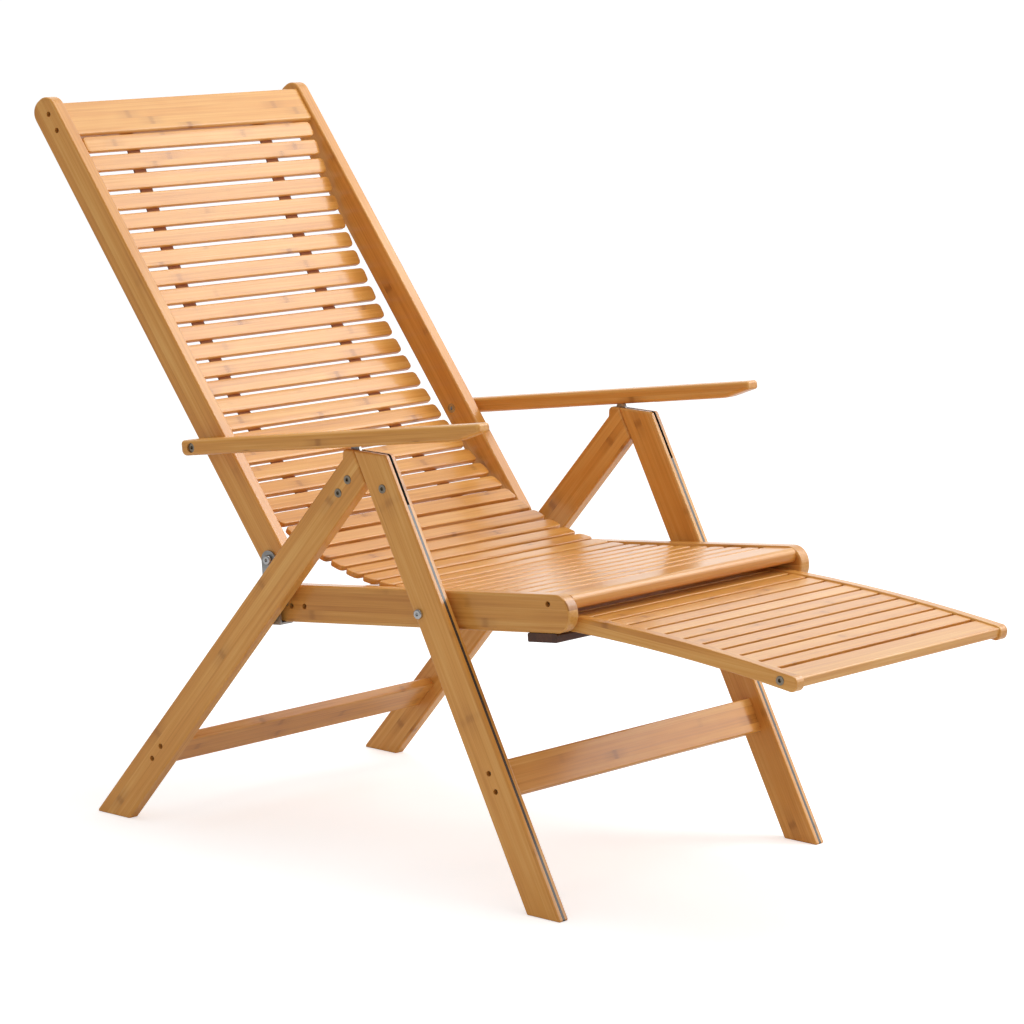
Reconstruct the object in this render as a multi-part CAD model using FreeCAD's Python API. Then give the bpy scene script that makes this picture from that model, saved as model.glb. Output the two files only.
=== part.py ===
# Folding bamboo recliner with a slatted sling, swinging arms and a sliding curved footrest.
# Millimetres. +Z is up, the sitter faces -Y, and the sitter's right side is -X.
# Side-view places are (y, z) pairs. Everything is laid out first, and the whole chair is then
# moved along Y, so that the origin is the centre of its box on the floor.

import FreeCAD
import Part
import math
import os
from FreeCAD import Vector

# Widths, from the middle plane outwards
LEG_OUTER = 300.0
LEG_THICK = 20.0
LEG_WIDTH = 50.0
RAIL_GAP = 9.4
RAIL_THICK = 22.0
FOOTREST_GAP = 5.0
FOOTREST_RAIL_THICK = 18.0
ARM_OVERHANG = 11.0
ARM_WIDTH = 28.0

# Apex of the legs
APEX_Y = -70.4
APEX_Z = 537.0
FRONT_LEAN = 28.9
REAR_LEAN = 38.8
LEG_TOP_Z = 583.0
REAR_LEG_OFFSET = 51.5
REAR_LEG_TOP_SETBACK = 72.9
LEG_JOINT_GAP = 0.5
LEG_EASE = 3.0

# Cross rails between the legs
CROSS_WIDTH = 50.0
CROSS_THICK = 15.0
FRONT_CROSS_DOWN = 421.0
REAR_CROSS_DOWN = 594.5
CROSS_SCREW_SPACING = 26.0

# Seat frame
SEAT_BOLT_DOWN = 174.1
SEAT_BOLT_SETBACK = 16.5
SEAT_PITCH = 6.5
SEAT_RAIL_DEPTH = 52.0
SEAT_BOLT_DROP = 2.3
SEAT_REACH_FRONT = 233.0
SEAT_REACH_REAR = 312.0
SEAT_FRONT_ROUND = 24.0
SEAT_REAR_ROUND = 16.0
FRONT_RAIL_WIDTH = 53.0
FRONT_RAIL_THICK = 20.5
FRONT_RAIL_SETBACK = 7.7
SEAT_CROSS_THICK = 14.0
SEAT_CROSS_WIDTH = 46.0
SEAT_CROSS_FROM_REAR = 66.0
SUPPORT_WIDTH = 50.0
SUPPORT_THICK = 12.0
SUPPORT_FROM_FRONT = 21.5

# Back frame
HINGE_OVER_RAIL = 33.8
HINGE_FROM_REAR = 18.7
BACK_LEAN = 38.0
BACK_RAIL_DEPTH = 45.0
HINGE_FROM_FRONT_EDGE = 29.3
BACK_RAIL_TOP = 758.0
BACK_RAIL_TAIL = 22.0
BACK_TOP_ROUND = 20.0
CREST_WIDTH = 56.0
CREST_THICK = 20.0
CREST_SETBACK = 4.5
CREST_FROM_TOP = 16.0
CREST_SCREW_SPACING = 27.5
CREST_SCREW_RAISE = 3.0
CREST_SCREW_FROM_FRONT = 12.5

# Slatted mat on two webbing straps
SLAT_END_GAP = 7.6
SLAT_WIDTH = 24.0
SLAT_THICK = 8.0
SLAT_PITCH = 30.0
SLAT_EASE = 1.8
SLAT_END_ROUND = 7.0
SLAT_COUNT_BACK = 18
SLAT_COUNT_TURN = 10
SLAT_COUNT_SEAT = 10
MAT_TOP_LENGTH = 848.5
MAT_SAG = 392.4
MAT_DROP = 2.5
MAT_LOW_Y = -46.6
MAT_STRAIGHT_BELOW = 3.0
MAT_TOP_ANGLE = 58.5
STRAP_CENTRE = 140.5
STRAP_WIDTH = 25.0
STRAP_THICK = 2.0
STRAP_GAP = 0.3
STRAP_INTO_CREST = 12.0

# Arms
ARM_PIVOT_UP = 186.3
ARM_RISE = 9.2
ARM_HEIGHT = 22.0
ARM_FRONT = 523.0
ARM_REAR = 20.0
ARM_EASE = 6.0
ARM_BOLT_SINK = 7.0
GROOVE_WIDTH = 7.0
GROOVE_DEPTH = 8.0
GROOVE_FROM = 190.0
GROOVE_TO = 352.0
NOTCH_COUNT = 5
NOTCH_WIDTH = 9.0
NOTCH_DEPTH = 3.0

# Footrest
FOOTREST_RADIUS = 2900.0
FOOTREST_CREST_Y = -330.0
FOOTREST_CREST_Z = 398.0
FOOTREST_DEPTH = 21.0
FOOTREST_REAR_Y = -262.0
FOOTREST_TIP_Y = -721.0
FOOTREST_TIP_ROUND = 9.0
FOOTREST_SLAT_DROP = 2.0
FOOTREST_SLAT_THICK = 9.0
FOOTREST_SLAT_WIDTH = 24.6
FOOTREST_PITCH = 30.6
FOOTREST_FIRST_GAP_Y = -677.0
FOOTREST_SLAT_COUNT = 12
FOOTREST_END_THICK = 14.0
FOOTREST_REAR_BAR = 22.0

# Steel
PLATE_THICK = 4.0
KERF_CLEARANCE = 0.6
TOOTH_ENTRY = 4.0
HINGE_PLATE_THICK = 2.5
HINGE_PLATE_RADIUS = 13.0
RUNNING = 0.06
BOLT_RADIUS = 4.0
BOLT_HEAD_RADIUS = 6.9
BOLT_HEAD_HEIGHT = 4.5
CAP_RADIUS = 6.2
CAP_HEIGHT = 4.0
CAP_PROUD = 1.0
SCREW_RADIUS = 2.5
SUNK_RADIUS = 3.7
SUNK_DEPTH = 7.0
SUNK_HEAD_HEIGHT = 3.0
SUNK_SCREW_LENGTH = 42.0
SUNK_CLEARANCE = 0.2
NUT_RADIUS = 7.0
NUT_THICK = 2.5
SIDE_CLEARANCE = 0.3
BRACKET_THICK = 3.0
BRACKET_LENGTH = 31.0
BRACKET_HEIGHT = 27.0
BRACKET_FROM_REAR = 9.0
BRACKET_REACH = 22.0

LEG_INNER = LEG_OUTER - LEG_THICK
RAIL_OUTER = LEG_INNER - RAIL_GAP
RAIL_INNER = RAIL_OUTER - RAIL_THICK
BACK_OUTER = RAIL_OUTER - SIDE_CLEARANCE
FOOTREST_OUTER = RAIL_INNER - FOOTREST_GAP
FOOTREST_INNER = FOOTREST_OUTER - FOOTREST_RAIL_THICK
ARM_OUTER = LEG_OUTER + ARM_OVERHANG
ARM_INNER = ARM_OUTER - ARM_WIDTH
SLAT_HALF_LENGTH = RAIL_INNER - SLAT_END_GAP
LEG_MIDDLE = LEG_OUTER - LEG_THICK / 2
KERF = PLATE_THICK + KERF_CLEARANCE


def direction(degrees_from_y):
    angle = math.radians(degrees_from_y)
    return (math.cos(angle), math.sin(angle))


def shifted(point, along, distance, across=0.0):
    # A point moved along a direction, and then to that direction's left as seen from +X
    y = point[0] + along[0] * distance - along[1] * across
    z = point[1] + along[1] * distance + along[0] * across
    return (y, z)


def meet(p, u, q, v):
    # Where the line through p along u crosses the line through q along v
    det = u[0] * v[1] - u[1] * v[0]
    t = ((q[0] - p[0]) * v[1] - (q[1] - p[1]) * v[0]) / det
    return (p[0] + u[0] * t, p[1] + u[1] * t)


def at_height(p, u, z):
    return meet(p, u, (0.0, z), (1.0, 0.0))


# Directions in the side view
UP_FRONT_LEG = direction(90.0 - FRONT_LEAN)
DOWN_REAR_LEG = direction(REAR_LEAN - 90.0)
SEAT_FORWARD = direction(180.0 - SEAT_PITCH)
UP_BACK = direction(90.0 - BACK_LEAN)
ARM_FORWARD = direction(180.0 - ARM_RISE)

# Pivots in the side view
APEX = (APEX_Y, APEX_Z)
SEAT_BOLT = shifted(APEX, UP_FRONT_LEG, -SEAT_BOLT_DOWN, -SEAT_BOLT_SETBACK)
SEAT_AXIS = shifted(SEAT_BOLT, SEAT_FORWARD, 0.0, -SEAT_BOLT_DROP)
SEAT_TOP = shifted(SEAT_AXIS, SEAT_FORWARD, 0.0, -SEAT_RAIL_DEPTH / 2)
SEAT_BOTTOM = shifted(SEAT_AXIS, SEAT_FORWARD, 0.0, SEAT_RAIL_DEPTH / 2)
HINGE = shifted(SEAT_TOP, SEAT_FORWARD, HINGE_FROM_REAR - SEAT_REACH_REAR, -HINGE_OVER_RAIL)
ARM_PIVOT = shifted(HINGE, UP_BACK, ARM_PIVOT_UP)
FOOTREST_CENTRE = (FOOTREST_CREST_Y, FOOTREST_CREST_Z - FOOTREST_RADIUS)
REAR_AXIS = shifted(APEX, DOWN_REAR_LEG, 0.0, REAR_LEG_OFFSET)


def rounded_wire(corners, x):
    # A closed outline in the side view from (y, z, radius) corners
    count = len(corners)
    edges = []
    ends = []
    for i in range(count):
        y, z, radius = corners[i]
        before = corners[i - 1]
        after = corners[(i + 1) % count]
        to_before = Vector(0, before[0] - y, before[1] - z).normalize()
        to_after = Vector(0, after[0] - y, after[1] - z).normalize()
        corner = Vector(x, y, z)
        if radius <= 0:
            ends.append((corner, corner))
            edges.append(None)
            continue
        half = to_before.getAngle(to_after) / 2
        trim = radius / math.tan(half)
        start = corner + to_before * trim
        finish = corner + to_after * trim
        inward = (to_before + to_after).normalize()
        middle = corner + inward * (radius / math.sin(half) - radius)
        ends.append((start, finish))
        edges.append(Part.Arc(start, middle, finish).toShape())
    loop = []
    for i in range(count):
        if edges[i] is not None:
            loop.append(edges[i])
        leave = ends[i][1]
        arrive = ends[(i + 1) % count][0]
        if leave.distanceToPoint(arrive) > 0.001:
            loop.append(Part.LineSegment(leave, arrive).toShape())
    return Part.Wire(loop)


def slab(corners, x_from, x_to):
    face = Part.Face(rounded_wire(corners, x_from))
    return face.extrude(Vector(x_to - x_from, 0, 0))


def strip(start, along, length, low, high, x_from, x_to, rounds=(0, 0, 0, 0)):
    # A straight bar in the side view: rounds go start-low, end-low, end-high, start-high
    a = shifted(start, along, 0.0, low)
    b = shifted(start, along, length, low)
    c = shifted(start, along, length, high)
    d = shifted(start, along, 0.0, high)
    corners = [(p[0], p[1], r) for p, r in zip((a, b, c, d), rounds)]
    return slab(corners, x_from, x_to)


def pin(centre, radius, x_from, x_to):
    low = min(x_from, x_to)
    return Part.makeCylinder(radius, abs(x_to - x_from), Vector(low, centre[0], centre[1]), Vector(1, 0, 0))


def eased(solid, radius, wanted):
    edges = [edge for edge in solid.Edges if wanted(edge)]
    return solid.makeFillet(radius, edges)


def on_side_faces(x_low, x_high, above=-1e9):
    # Picks the outline edges of a board's two faces, above a height
    def wanted(edge):
        box = edge.BoundBox
        flat = box.XLength < 0.001
        side = abs(box.XMin - x_low) < 0.001 or abs(box.XMin - x_high) < 0.001
        return flat and side and box.ZMax > above
    return wanted


def mirrored(solid):
    return solid.mirror(Vector(0, 0, 0), Vector(1, 0, 0))


def group(solids):
    return Part.makeCompound(solids)


def hex_socket(centre, across, x_face, depth):
    points = []
    for i in range(6):
        angle = math.radians(60 * i + 30)
        radius = across / math.sqrt(3)
        points.append((centre[0] + radius * math.cos(angle), centre[1] + radius * math.sin(angle), 0))
    return slab(points, x_face - depth, x_face + 1.0)


def cap_screw_space(centre, x_face, length):
    head = pin(centre, CAP_RADIUS, x_face - CAP_HEIGHT, x_face)
    shank = pin(centre, SCREW_RADIUS, x_face - CAP_HEIGHT - length, x_face - CAP_HEIGHT)
    return head.fuse(shank)


def cap_screw(centre, x_face, length):
    # A socket screw whose rounded head stands a little proud of its counterbore
    head = pin(centre, CAP_RADIUS, x_face - CAP_HEIGHT, x_face + CAP_PROUD)
    outer = x_face + CAP_PROUD
    head = eased(head, 0.9, lambda edge: abs(edge.BoundBox.XMin - outer) < 0.001 and edge.BoundBox.XLength < 0.001)
    shank = pin(centre, SCREW_RADIUS, x_face - CAP_HEIGHT - length, x_face - CAP_HEIGHT)
    screw = head.fuse(shank).removeSplitter()
    return screw.cut(hex_socket(centre, 5.0, outer, 2.8))


def sunk_screw_space(centre, x_face):
    low = x_face - SUNK_DEPTH - SUNK_HEAD_HEIGHT
    hole = pin(centre, SUNK_RADIUS + SUNK_CLEARANCE, low, x_face + 1.0)
    return hole.fuse(pin(centre, SCREW_RADIUS + SUNK_CLEARANCE, x_face - SUNK_SCREW_LENGTH, low))


def sunk_screw(centre, x_face):
    # A screw at the bottom of a deep round recess
    low = x_face - SUNK_DEPTH - SUNK_HEAD_HEIGHT
    head = pin(centre, SUNK_RADIUS, low, x_face - SUNK_DEPTH)
    screw = head.fuse(pin(centre, SCREW_RADIUS, x_face - SUNK_SCREW_LENGTH, low))
    screw = screw.removeSplitter()
    return screw.cut(hex_socket(centre, 3.2, x_face - SUNK_DEPTH, 1.8))


def bolt(centre, x_head, x_end):
    # A domed bolt: its head lies against x_head and its shank ends at x_end
    head = pin(centre, BOLT_HEAD_RADIUS, x_head, x_head + BOLT_HEAD_HEIGHT)
    outer = x_head + BOLT_HEAD_HEIGHT
    head = eased(head, 2.2, lambda edge: abs(edge.BoundBox.XMin - outer) < 0.001 and edge.BoundBox.XLength < 0.001)
    shank = pin(centre, BOLT_RADIUS, x_end, x_head)
    whole = head.fuse(shank).removeSplitter()
    return whole.cut(hex_socket(centre, 5.0, outer, 2.4))


def nut(centre, x_face):
    # A round flanged nut let into an inner face, level with it
    body = pin(centre, NUT_RADIUS, x_face, x_face + NUT_THICK)
    return body.cut(hex_socket(centre, 5.0, x_face + 1.2, 1.3))


# Legs and their cross rails


def front_leg_outline():
    foot_front = at_height(shifted(APEX, UP_FRONT_LEG, 0.0, LEG_WIDTH / 2), UP_FRONT_LEG, 0.0)
    foot_rear = at_height(shifted(APEX, UP_FRONT_LEG, 0.0, -LEG_WIDTH / 2), UP_FRONT_LEG, 0.0)
    top_front = at_height(shifted(APEX, UP_FRONT_LEG, 0.0, LEG_WIDTH / 2), UP_FRONT_LEG, LEG_TOP_Z)
    top_rear = at_height(shifted(APEX, UP_FRONT_LEG, 0.0, -LEG_WIDTH / 2), UP_FRONT_LEG, LEG_TOP_Z)
    return [foot_front + (2,), foot_rear + (2,), top_rear + (1,), top_front + (6,)]


def rear_leg_outline():
    half = LEG_WIDTH / 2
    face = -LEG_WIDTH / 2 - LEG_JOINT_GAP
    under = shifted(REAR_AXIS, DOWN_REAR_LEG, 0.0, -half)
    upper = shifted(REAR_AXIS, DOWN_REAR_LEG, 0.0, half)
    end_face = shifted(APEX, UP_FRONT_LEG, 0.0, face)
    setback = (APEX[0] + REAR_LEG_TOP_SETBACK, 0.0)
    foot_front = at_height(under, DOWN_REAR_LEG, 0.0)
    foot_rear = at_height(upper, DOWN_REAR_LEG, 0.0)
    shoulder = meet(upper, DOWN_REAR_LEG, setback, (0.0, 1.0))
    top_rear = (setback[0], LEG_TOP_Z)
    top_front = at_height(end_face, UP_FRONT_LEG, LEG_TOP_Z)
    crotch = meet(under, DOWN_REAR_LEG, end_face, UP_FRONT_LEG)
    return [foot_front + (2,), foot_rear + (2,), shoulder + (3,), top_rear + (7,), top_front + (1,), crotch + (2,)]


def apex_plate_outline():
    y, z = APEX
    tip = tooth_tip()
    first, second = rear_plate_screws()
    return [(y - 15, z - 15, 13), (y + 12, z - 15, 8), (y + 29, z + 7, 10), (second[0] - 11, second[1] - 4, 8),
            (second[0] - 3, second[1] - 14, 7), (second[0] + 14, second[1] - 3, 9), (first[0] + 13, first[1] + 4, 9),
            (tip[0] + 9, LEG_TOP_Z - 6, 4), (tip[0] + 5, tip[1], 2.5), (tip[0] - 5, tip[1], 2.5),
            (tip[0] - 11, LEG_TOP_Z - 4, 5), (y - 15, z + 17, 13)]


def rear_plate_screws():
    first = shifted(REAR_AXIS, DOWN_REAR_LEG, 35.5)
    second = shifted(REAR_AXIS, DOWN_REAR_LEG, 61.5)
    return first, second


def arm_underside(distance):
    return shifted(ARM_PIVOT, ARM_FORWARD, distance, ARM_HEIGHT / 2)


def tooth_distance():
    # How far along the arm the tooth stands from the arm's pivot
    return (ARM_PIVOT[0] - (APEX[0] + 58.0)) / math.cos(math.radians(ARM_RISE))


def tooth_tip():
    point = shifted(ARM_PIVOT, ARM_FORWARD, tooth_distance(), ARM_HEIGHT / 2 - TOOTH_ENTRY)
    return point


def plate_slab(x_low, x_high):
    return slab(apex_plate_outline(), x_low, x_high)


def cross_screws(origin, along, down):
    middle = shifted(origin, along, down)
    first = shifted(middle, along, -CROSS_SCREW_SPACING / 2)
    second = shifted(middle, along, CROSS_SCREW_SPACING / 2)
    return first, second


DOWN_FRONT_LEG = (-UP_FRONT_LEG[0], -UP_FRONT_LEG[1])


def make_front_leg():
    leg = slab(front_leg_outline(), LEG_INNER, LEG_OUTER)
    leg = eased(leg, LEG_EASE, on_side_faces(LEG_INNER, LEG_OUTER, 5.0))
    kerf_floor = shifted(APEX, UP_FRONT_LEG, -34.0)
    kerf = strip(kerf_floor, UP_FRONT_LEG, 120.0, -60.0, 60.0, LEG_MIDDLE - KERF / 2, LEG_MIDDLE + KERF / 2)
    leg = leg.cut(kerf)
    leg = leg.cut(cap_screw_space(APEX, LEG_OUTER, LEG_THICK - CAP_HEIGHT - 2.0))
    for centre in cross_screws(APEX, DOWN_FRONT_LEG, FRONT_CROSS_DOWN):
        leg = leg.cut(sunk_screw_space(centre, LEG_OUTER))
    return leg.cut(pin(SEAT_BOLT, BOLT_RADIUS, LEG_INNER - 1, LEG_OUTER + 1))


def make_rear_leg():
    leg = slab(rear_leg_outline(), LEG_INNER, LEG_OUTER)
    leg = eased(leg, LEG_EASE, on_side_faces(LEG_INNER, LEG_OUTER, 5.0))
    leg = leg.cut(plate_slab(LEG_MIDDLE - PLATE_THICK / 2, LEG_MIDDLE + PLATE_THICK / 2))
    for centre in rear_plate_screws():
        leg = leg.cut(cap_screw_space(centre, LEG_OUTER, LEG_THICK - CAP_HEIGHT - 2.0))
    for centre in cross_screws(REAR_AXIS, DOWN_REAR_LEG, REAR_CROSS_DOWN):
        leg = leg.cut(sunk_screw_space(centre, LEG_OUTER))
    return leg.cut(pin(bracket_screw_centre(), SCREW_RADIUS, LEG_INNER - 1, LEG_INNER + 13.0))


def make_apex_plate():
    plate = plate_slab(LEG_MIDDLE - PLATE_THICK / 2, LEG_MIDDLE + PLATE_THICK / 2)
    plate = plate.cut(pin(APEX, SCREW_RADIUS + RUNNING, 0, LEG_OUTER))
    for centre in rear_plate_screws():
        plate = plate.cut(pin(centre, SCREW_RADIUS, 0, LEG_OUTER))
    return plate


def cross_rail(origin, along, down):
    start = shifted(origin, along, down - CROSS_WIDTH / 2)
    rail = strip(start, along, CROSS_WIDTH, -CROSS_THICK / 2, CROSS_THICK / 2, -LEG_INNER, LEG_INNER)
    rail = eased(rail, 3.0, lambda edge: edge.BoundBox.XLength > LEG_INNER)
    for centre in cross_screws(origin, along, down):
        for screw in both(sunk_screw_space(centre, LEG_OUTER)):
            rail = rail.cut(screw)
    return rail


def both(solid):
    return [mirrored(solid), solid]


def bracket_start():
    # Rear end of the angle bracket's top face, just under the seat rail
    return shifted(SEAT_BOTTOM, SEAT_FORWARD, BRACKET_FROM_REAR - SEAT_REACH_REAR, SIDE_CLEARANCE)


def bracket_screw_centre():
    return shifted(bracket_start(), SEAT_FORWARD, 9.0, 7.0 - BRACKET_HEIGHT)


def make_rest_bracket():
    # A steel angle on the rear leg's inner face; the seat rail's rear end lies on its shelf
    wall = LEG_INNER - BRACKET_THICK
    shelf = strip(bracket_start(), SEAT_FORWARD, BRACKET_LENGTH, 0.0, BRACKET_THICK,
                  LEG_INNER - BRACKET_THICK - BRACKET_REACH, LEG_INNER)
    upright = strip(bracket_start(), SEAT_FORWARD, BRACKET_LENGTH, -BRACKET_HEIGHT, BRACKET_THICK, wall, LEG_INNER,
                    (5, 5, 0, 0))
    bracket = shelf.fuse(upright).removeSplitter()
    return bracket.cut(pin(bracket_screw_centre(), SCREW_RADIUS, 0, LEG_OUTER))


def make_bracket_screw():
    face = LEG_INNER - BRACKET_THICK
    head = pin(bracket_screw_centre(), 4.0, face - 2.0, face)
    head = eased(head, 1.2, lambda edge: abs(edge.BoundBox.XMax - face + 2.0) < 0.001 and edge.BoundBox.XLength < 0.001)
    return head.fuse(pin(bracket_screw_centre(), SCREW_RADIUS, face, LEG_INNER + 13.0)).removeSplitter()


# Seat frame


def seat_rail_outline():
    start = shifted(SEAT_AXIS, SEAT_FORWARD, -SEAT_REACH_REAR)
    length = SEAT_REACH_REAR + SEAT_REACH_FRONT
    half = SEAT_RAIL_DEPTH / 2
    ends = []
    for along, across, radius in ((0.0, half, SEAT_REAR_ROUND), (length, half, SEAT_FRONT_ROUND),
                                  (length, -half, SEAT_FRONT_ROUND), (0.0, -half, SEAT_REAR_ROUND)):
        ends.append(shifted(start, SEAT_FORWARD, along, across) + (radius,))
    return ends


def front_rail_start():
    # Rear edge of the seat's front rail, on its top face
    top = shifted(SEAT_TOP, SEAT_FORWARD, SEAT_REACH_FRONT - FRONT_RAIL_SETBACK - FRONT_RAIL_WIDTH, MAT_DROP)
    return top


def front_rail_screw():
    return shifted(front_rail_start(), SEAT_FORWARD, FRONT_RAIL_WIDTH / 2, FRONT_RAIL_THICK / 2)


def seat_cross_screws():
    middle = shifted(SEAT_AXIS, SEAT_FORWARD, SEAT_CROSS_FROM_REAR - SEAT_REACH_REAR, 3.5)
    return shifted(middle, SEAT_FORWARD, -12.0), shifted(middle, SEAT_FORWARD, 12.0)


def seat_screw_centres():
    return list(seat_cross_screws()) + [front_rail_screw()]


def support_screw_centres():
    start = support_start()
    return [shifted(start, SEAT_FORWARD, 13.0), shifted(start, SEAT_FORWARD, SUPPORT_WIDTH - 13.0)]


def support_start():
    return shifted(SEAT_BOTTOM, SEAT_FORWARD, SEAT_REACH_FRONT - SUPPORT_FROM_FRONT - SUPPORT_WIDTH)


def upright_screw(point, x):
    # A countersunk screw driven up through the support board into a seat rail
    up = Vector(0, -SEAT_FORWARD[1], -SEAT_FORWARD[0])
    under = shifted(point, SEAT_FORWARD, 0.0, SUPPORT_THICK)
    base = Vector(x, under[0], under[1])
    head = Part.makeCone(4.0, SCREW_RADIUS, 2.5, base, up)
    shank = Part.makeCylinder(SCREW_RADIUS, 26.0, base + up * 2.5, up)
    return head.fuse(shank).removeSplitter()


def hinge_plate_screws():
    under_hinge = HINGE_FROM_REAR - SEAT_REACH_REAR
    first = shifted(SEAT_AXIS, SEAT_FORWARD, under_hinge + 8.3, -7.0)
    second = shifted(SEAT_AXIS, SEAT_FORWARD, under_hinge + 23.3, -7.0)
    return first, second


def make_seat_rail():
    rail = slab(seat_rail_outline(), RAIL_INNER, RAIL_OUTER)
    rail = eased(rail, 3.0, on_side_faces(RAIL_INNER, RAIL_OUTER))
    rail = rail.cut(pin(SEAT_BOLT, BOLT_RADIUS + RUNNING, RAIL_INNER - 1, RAIL_OUTER + 1))
    rail = rail.cut(pin(SEAT_BOLT, NUT_RADIUS + RUNNING, RAIL_INNER - 1, RAIL_INNER + NUT_THICK + RUNNING))
    for centre in seat_screw_centres():
        rail = rail.cut(sunk_screw_space(centre, RAIL_OUTER))
    for centre in hinge_plate_screws():
        rail = rail.cut(pin(centre, SCREW_RADIUS, RAIL_OUTER - 16.0, RAIL_OUTER + 1))
    middle = (RAIL_OUTER + RAIL_INNER) / 2
    for centre in support_screw_centres():
        rail = rail.cut(upright_screw(centre, middle))
    return rail


def make_seat_front_rail():
    rail = strip(front_rail_start(), SEAT_FORWARD, FRONT_RAIL_WIDTH, 0.0, FRONT_RAIL_THICK,
                 -RAIL_INNER, RAIL_INNER, (3, 8, 9, 3))
    for screw in both(sunk_screw_space(front_rail_screw(), RAIL_OUTER)):
        rail = rail.cut(screw)
    return rail


def make_seat_cross_rail():
    middle = shifted(SEAT_AXIS, SEAT_FORWARD, SEAT_CROSS_FROM_REAR - SEAT_REACH_REAR, 3.5)
    start = shifted(middle, SEAT_FORWARD, -SEAT_CROSS_WIDTH / 2)
    rail = strip(start, SEAT_FORWARD, SEAT_CROSS_WIDTH, -SEAT_CROSS_THICK / 2, SEAT_CROSS_THICK / 2,
                 -RAIL_INNER, RAIL_INNER, (3, 3, 3, 3))
    for centre in seat_cross_screws():
        for screw in both(sunk_screw_space(centre, RAIL_OUTER)):
            rail = rail.cut(screw)
    return rail


def make_support_board():
    board = strip(support_start(), SEAT_FORWARD, SUPPORT_WIDTH, 0.0, SUPPORT_THICK, -RAIL_OUTER, RAIL_OUTER,
                  (2, 3, 2, 2))
    middle = (RAIL_OUTER + RAIL_INNER) / 2
    for centre in support_screw_centres():
        for screw in both(upright_screw(centre, middle)):
            board = board.cut(screw)
    return board


def make_hinge_plate():
    first, second = hinge_plate_screws()
    low = SEAT_RAIL_DEPTH / 2 - 9.0
    start = shifted(SEAT_AXIS, SEAT_FORWARD, HINGE_FROM_REAR - SEAT_REACH_REAR + 0.3)
    edge = HINGE_PLATE_RADIUS
    corners = [shifted(start, SEAT_FORWARD, 0.0, 4.0) + (5,), shifted(start, SEAT_FORWARD, 30.0, 4.0) + (5,),
               shifted(start, SEAT_FORWARD, 30.0, -low) + (9,), shifted(HINGE, SEAT_FORWARD, edge, 14.0) + (10,),
               shifted(HINGE, SEAT_FORWARD, edge, -edge) + (edge - 0.1,),
               shifted(HINGE, SEAT_FORWARD, -edge, -edge) + (edge - 0.1,),
               shifted(HINGE, SEAT_FORWARD, -edge, 22.0) + (6,)]
    plate = slab(corners, RAIL_OUTER, RAIL_OUTER + HINGE_PLATE_THICK)
    plate = plate.cut(pin(HINGE, BOLT_RADIUS + RUNNING, 0, LEG_OUTER))
    for centre in (first, second):
        plate = plate.cut(pin(centre, SCREW_RADIUS, 0, LEG_OUTER))
    return plate


def hinge_plate_screw(centre):
    seat = RAIL_OUTER + HINGE_PLATE_THICK
    head = pin(centre, 4.2, seat, seat + 2.2)
    head = eased(head, 1.2, lambda edge: abs(edge.BoundBox.XMin - seat - 2.2) < 0.001 and edge.BoundBox.XLength < 0.001)
    shank = pin(centre, SCREW_RADIUS, RAIL_OUTER - 16.0, seat)
    return head.fuse(shank).removeSplitter()


# Slatted mat: straight over the seat, then a hanging curve, and straight again into the crest rail


def mat_turn_length():
    return MAT_SAG * math.tan(math.radians(SEAT_PITCH))


def seat_surface_height(y):
    base = shifted(SEAT_TOP, SEAT_FORWARD, 0.0, MAT_DROP)
    return at_line(base, SEAT_FORWARD, y)


def at_line(p, u, y):
    return p[1] + (y - p[0]) * u[1] / u[0]


def mat_low_z():
    turn = mat_turn_length()
    y = MAT_LOW_Y - MAT_SAG * math.asinh(turn / MAT_SAG)
    return seat_surface_height(y) - MAT_SAG * (math.sqrt(1 + (turn / MAT_SAG) ** 2) - 1)


def mat_point(length):
    # Point and direction of the mat's top surface, at a length measured from its lowest point
    turn = -mat_turn_length()
    straight = MAT_TOP_LENGTH - MAT_STRAIGHT_BELOW
    if length > straight:
        start = mat_point(straight)[0]
        along = direction(MAT_TOP_ANGLE)
        return shifted(start, along, length - straight), along
    if length >= turn:
        y = MAT_LOW_Y + MAT_SAG * math.asinh(length / MAT_SAG)
        z = mat_low_z() + MAT_SAG * (math.sqrt(1 + (length / MAT_SAG) ** 2) - 1)
        slope = math.atan2(length, MAT_SAG)
        return (y, z), (math.cos(slope), math.sin(slope))
    start, along = mat_point(turn)
    return shifted(start, along, length - turn), along


def slat_low(number):
    # Lower edge of a slat, counted from the top of the back
    return MAT_TOP_LENGTH - SLAT_PITCH * (number - 1)


def slat_blank(half_length, width, thick, ease, end_round):
    board = Part.makeBox(2 * half_length, width, thick, Vector(-half_length, -width / 2, -thick))
    board = board.makeFillet(end_round, [edge for edge in board.Edges if edge.BoundBox.ZLength > thick - 0.1])
    return board.makeFillet(ease, [edge for edge in board.Edges if edge.BoundBox.ZLength < 0.001])


def placed(blank, point, along):
    turn = FreeCAD.Rotation(Vector(1, 0, 0), math.degrees(math.atan2(along[1], along[0])))
    copy = blank.copy()
    copy.Placement = FreeCAD.Placement(Vector(0, point[0], point[1]), turn)
    return copy


def mat_slats(first, last):
    blank = slat_blank(SLAT_HALF_LENGTH, SLAT_WIDTH, SLAT_THICK, SLAT_EASE, SLAT_END_ROUND)
    slats = []
    for number in range(first, last + 1):
        point, along = mat_point(slat_low(number) + SLAT_WIDTH / 2)
        slats.append(placed(blank, point, along))
    return group(slats)


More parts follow.
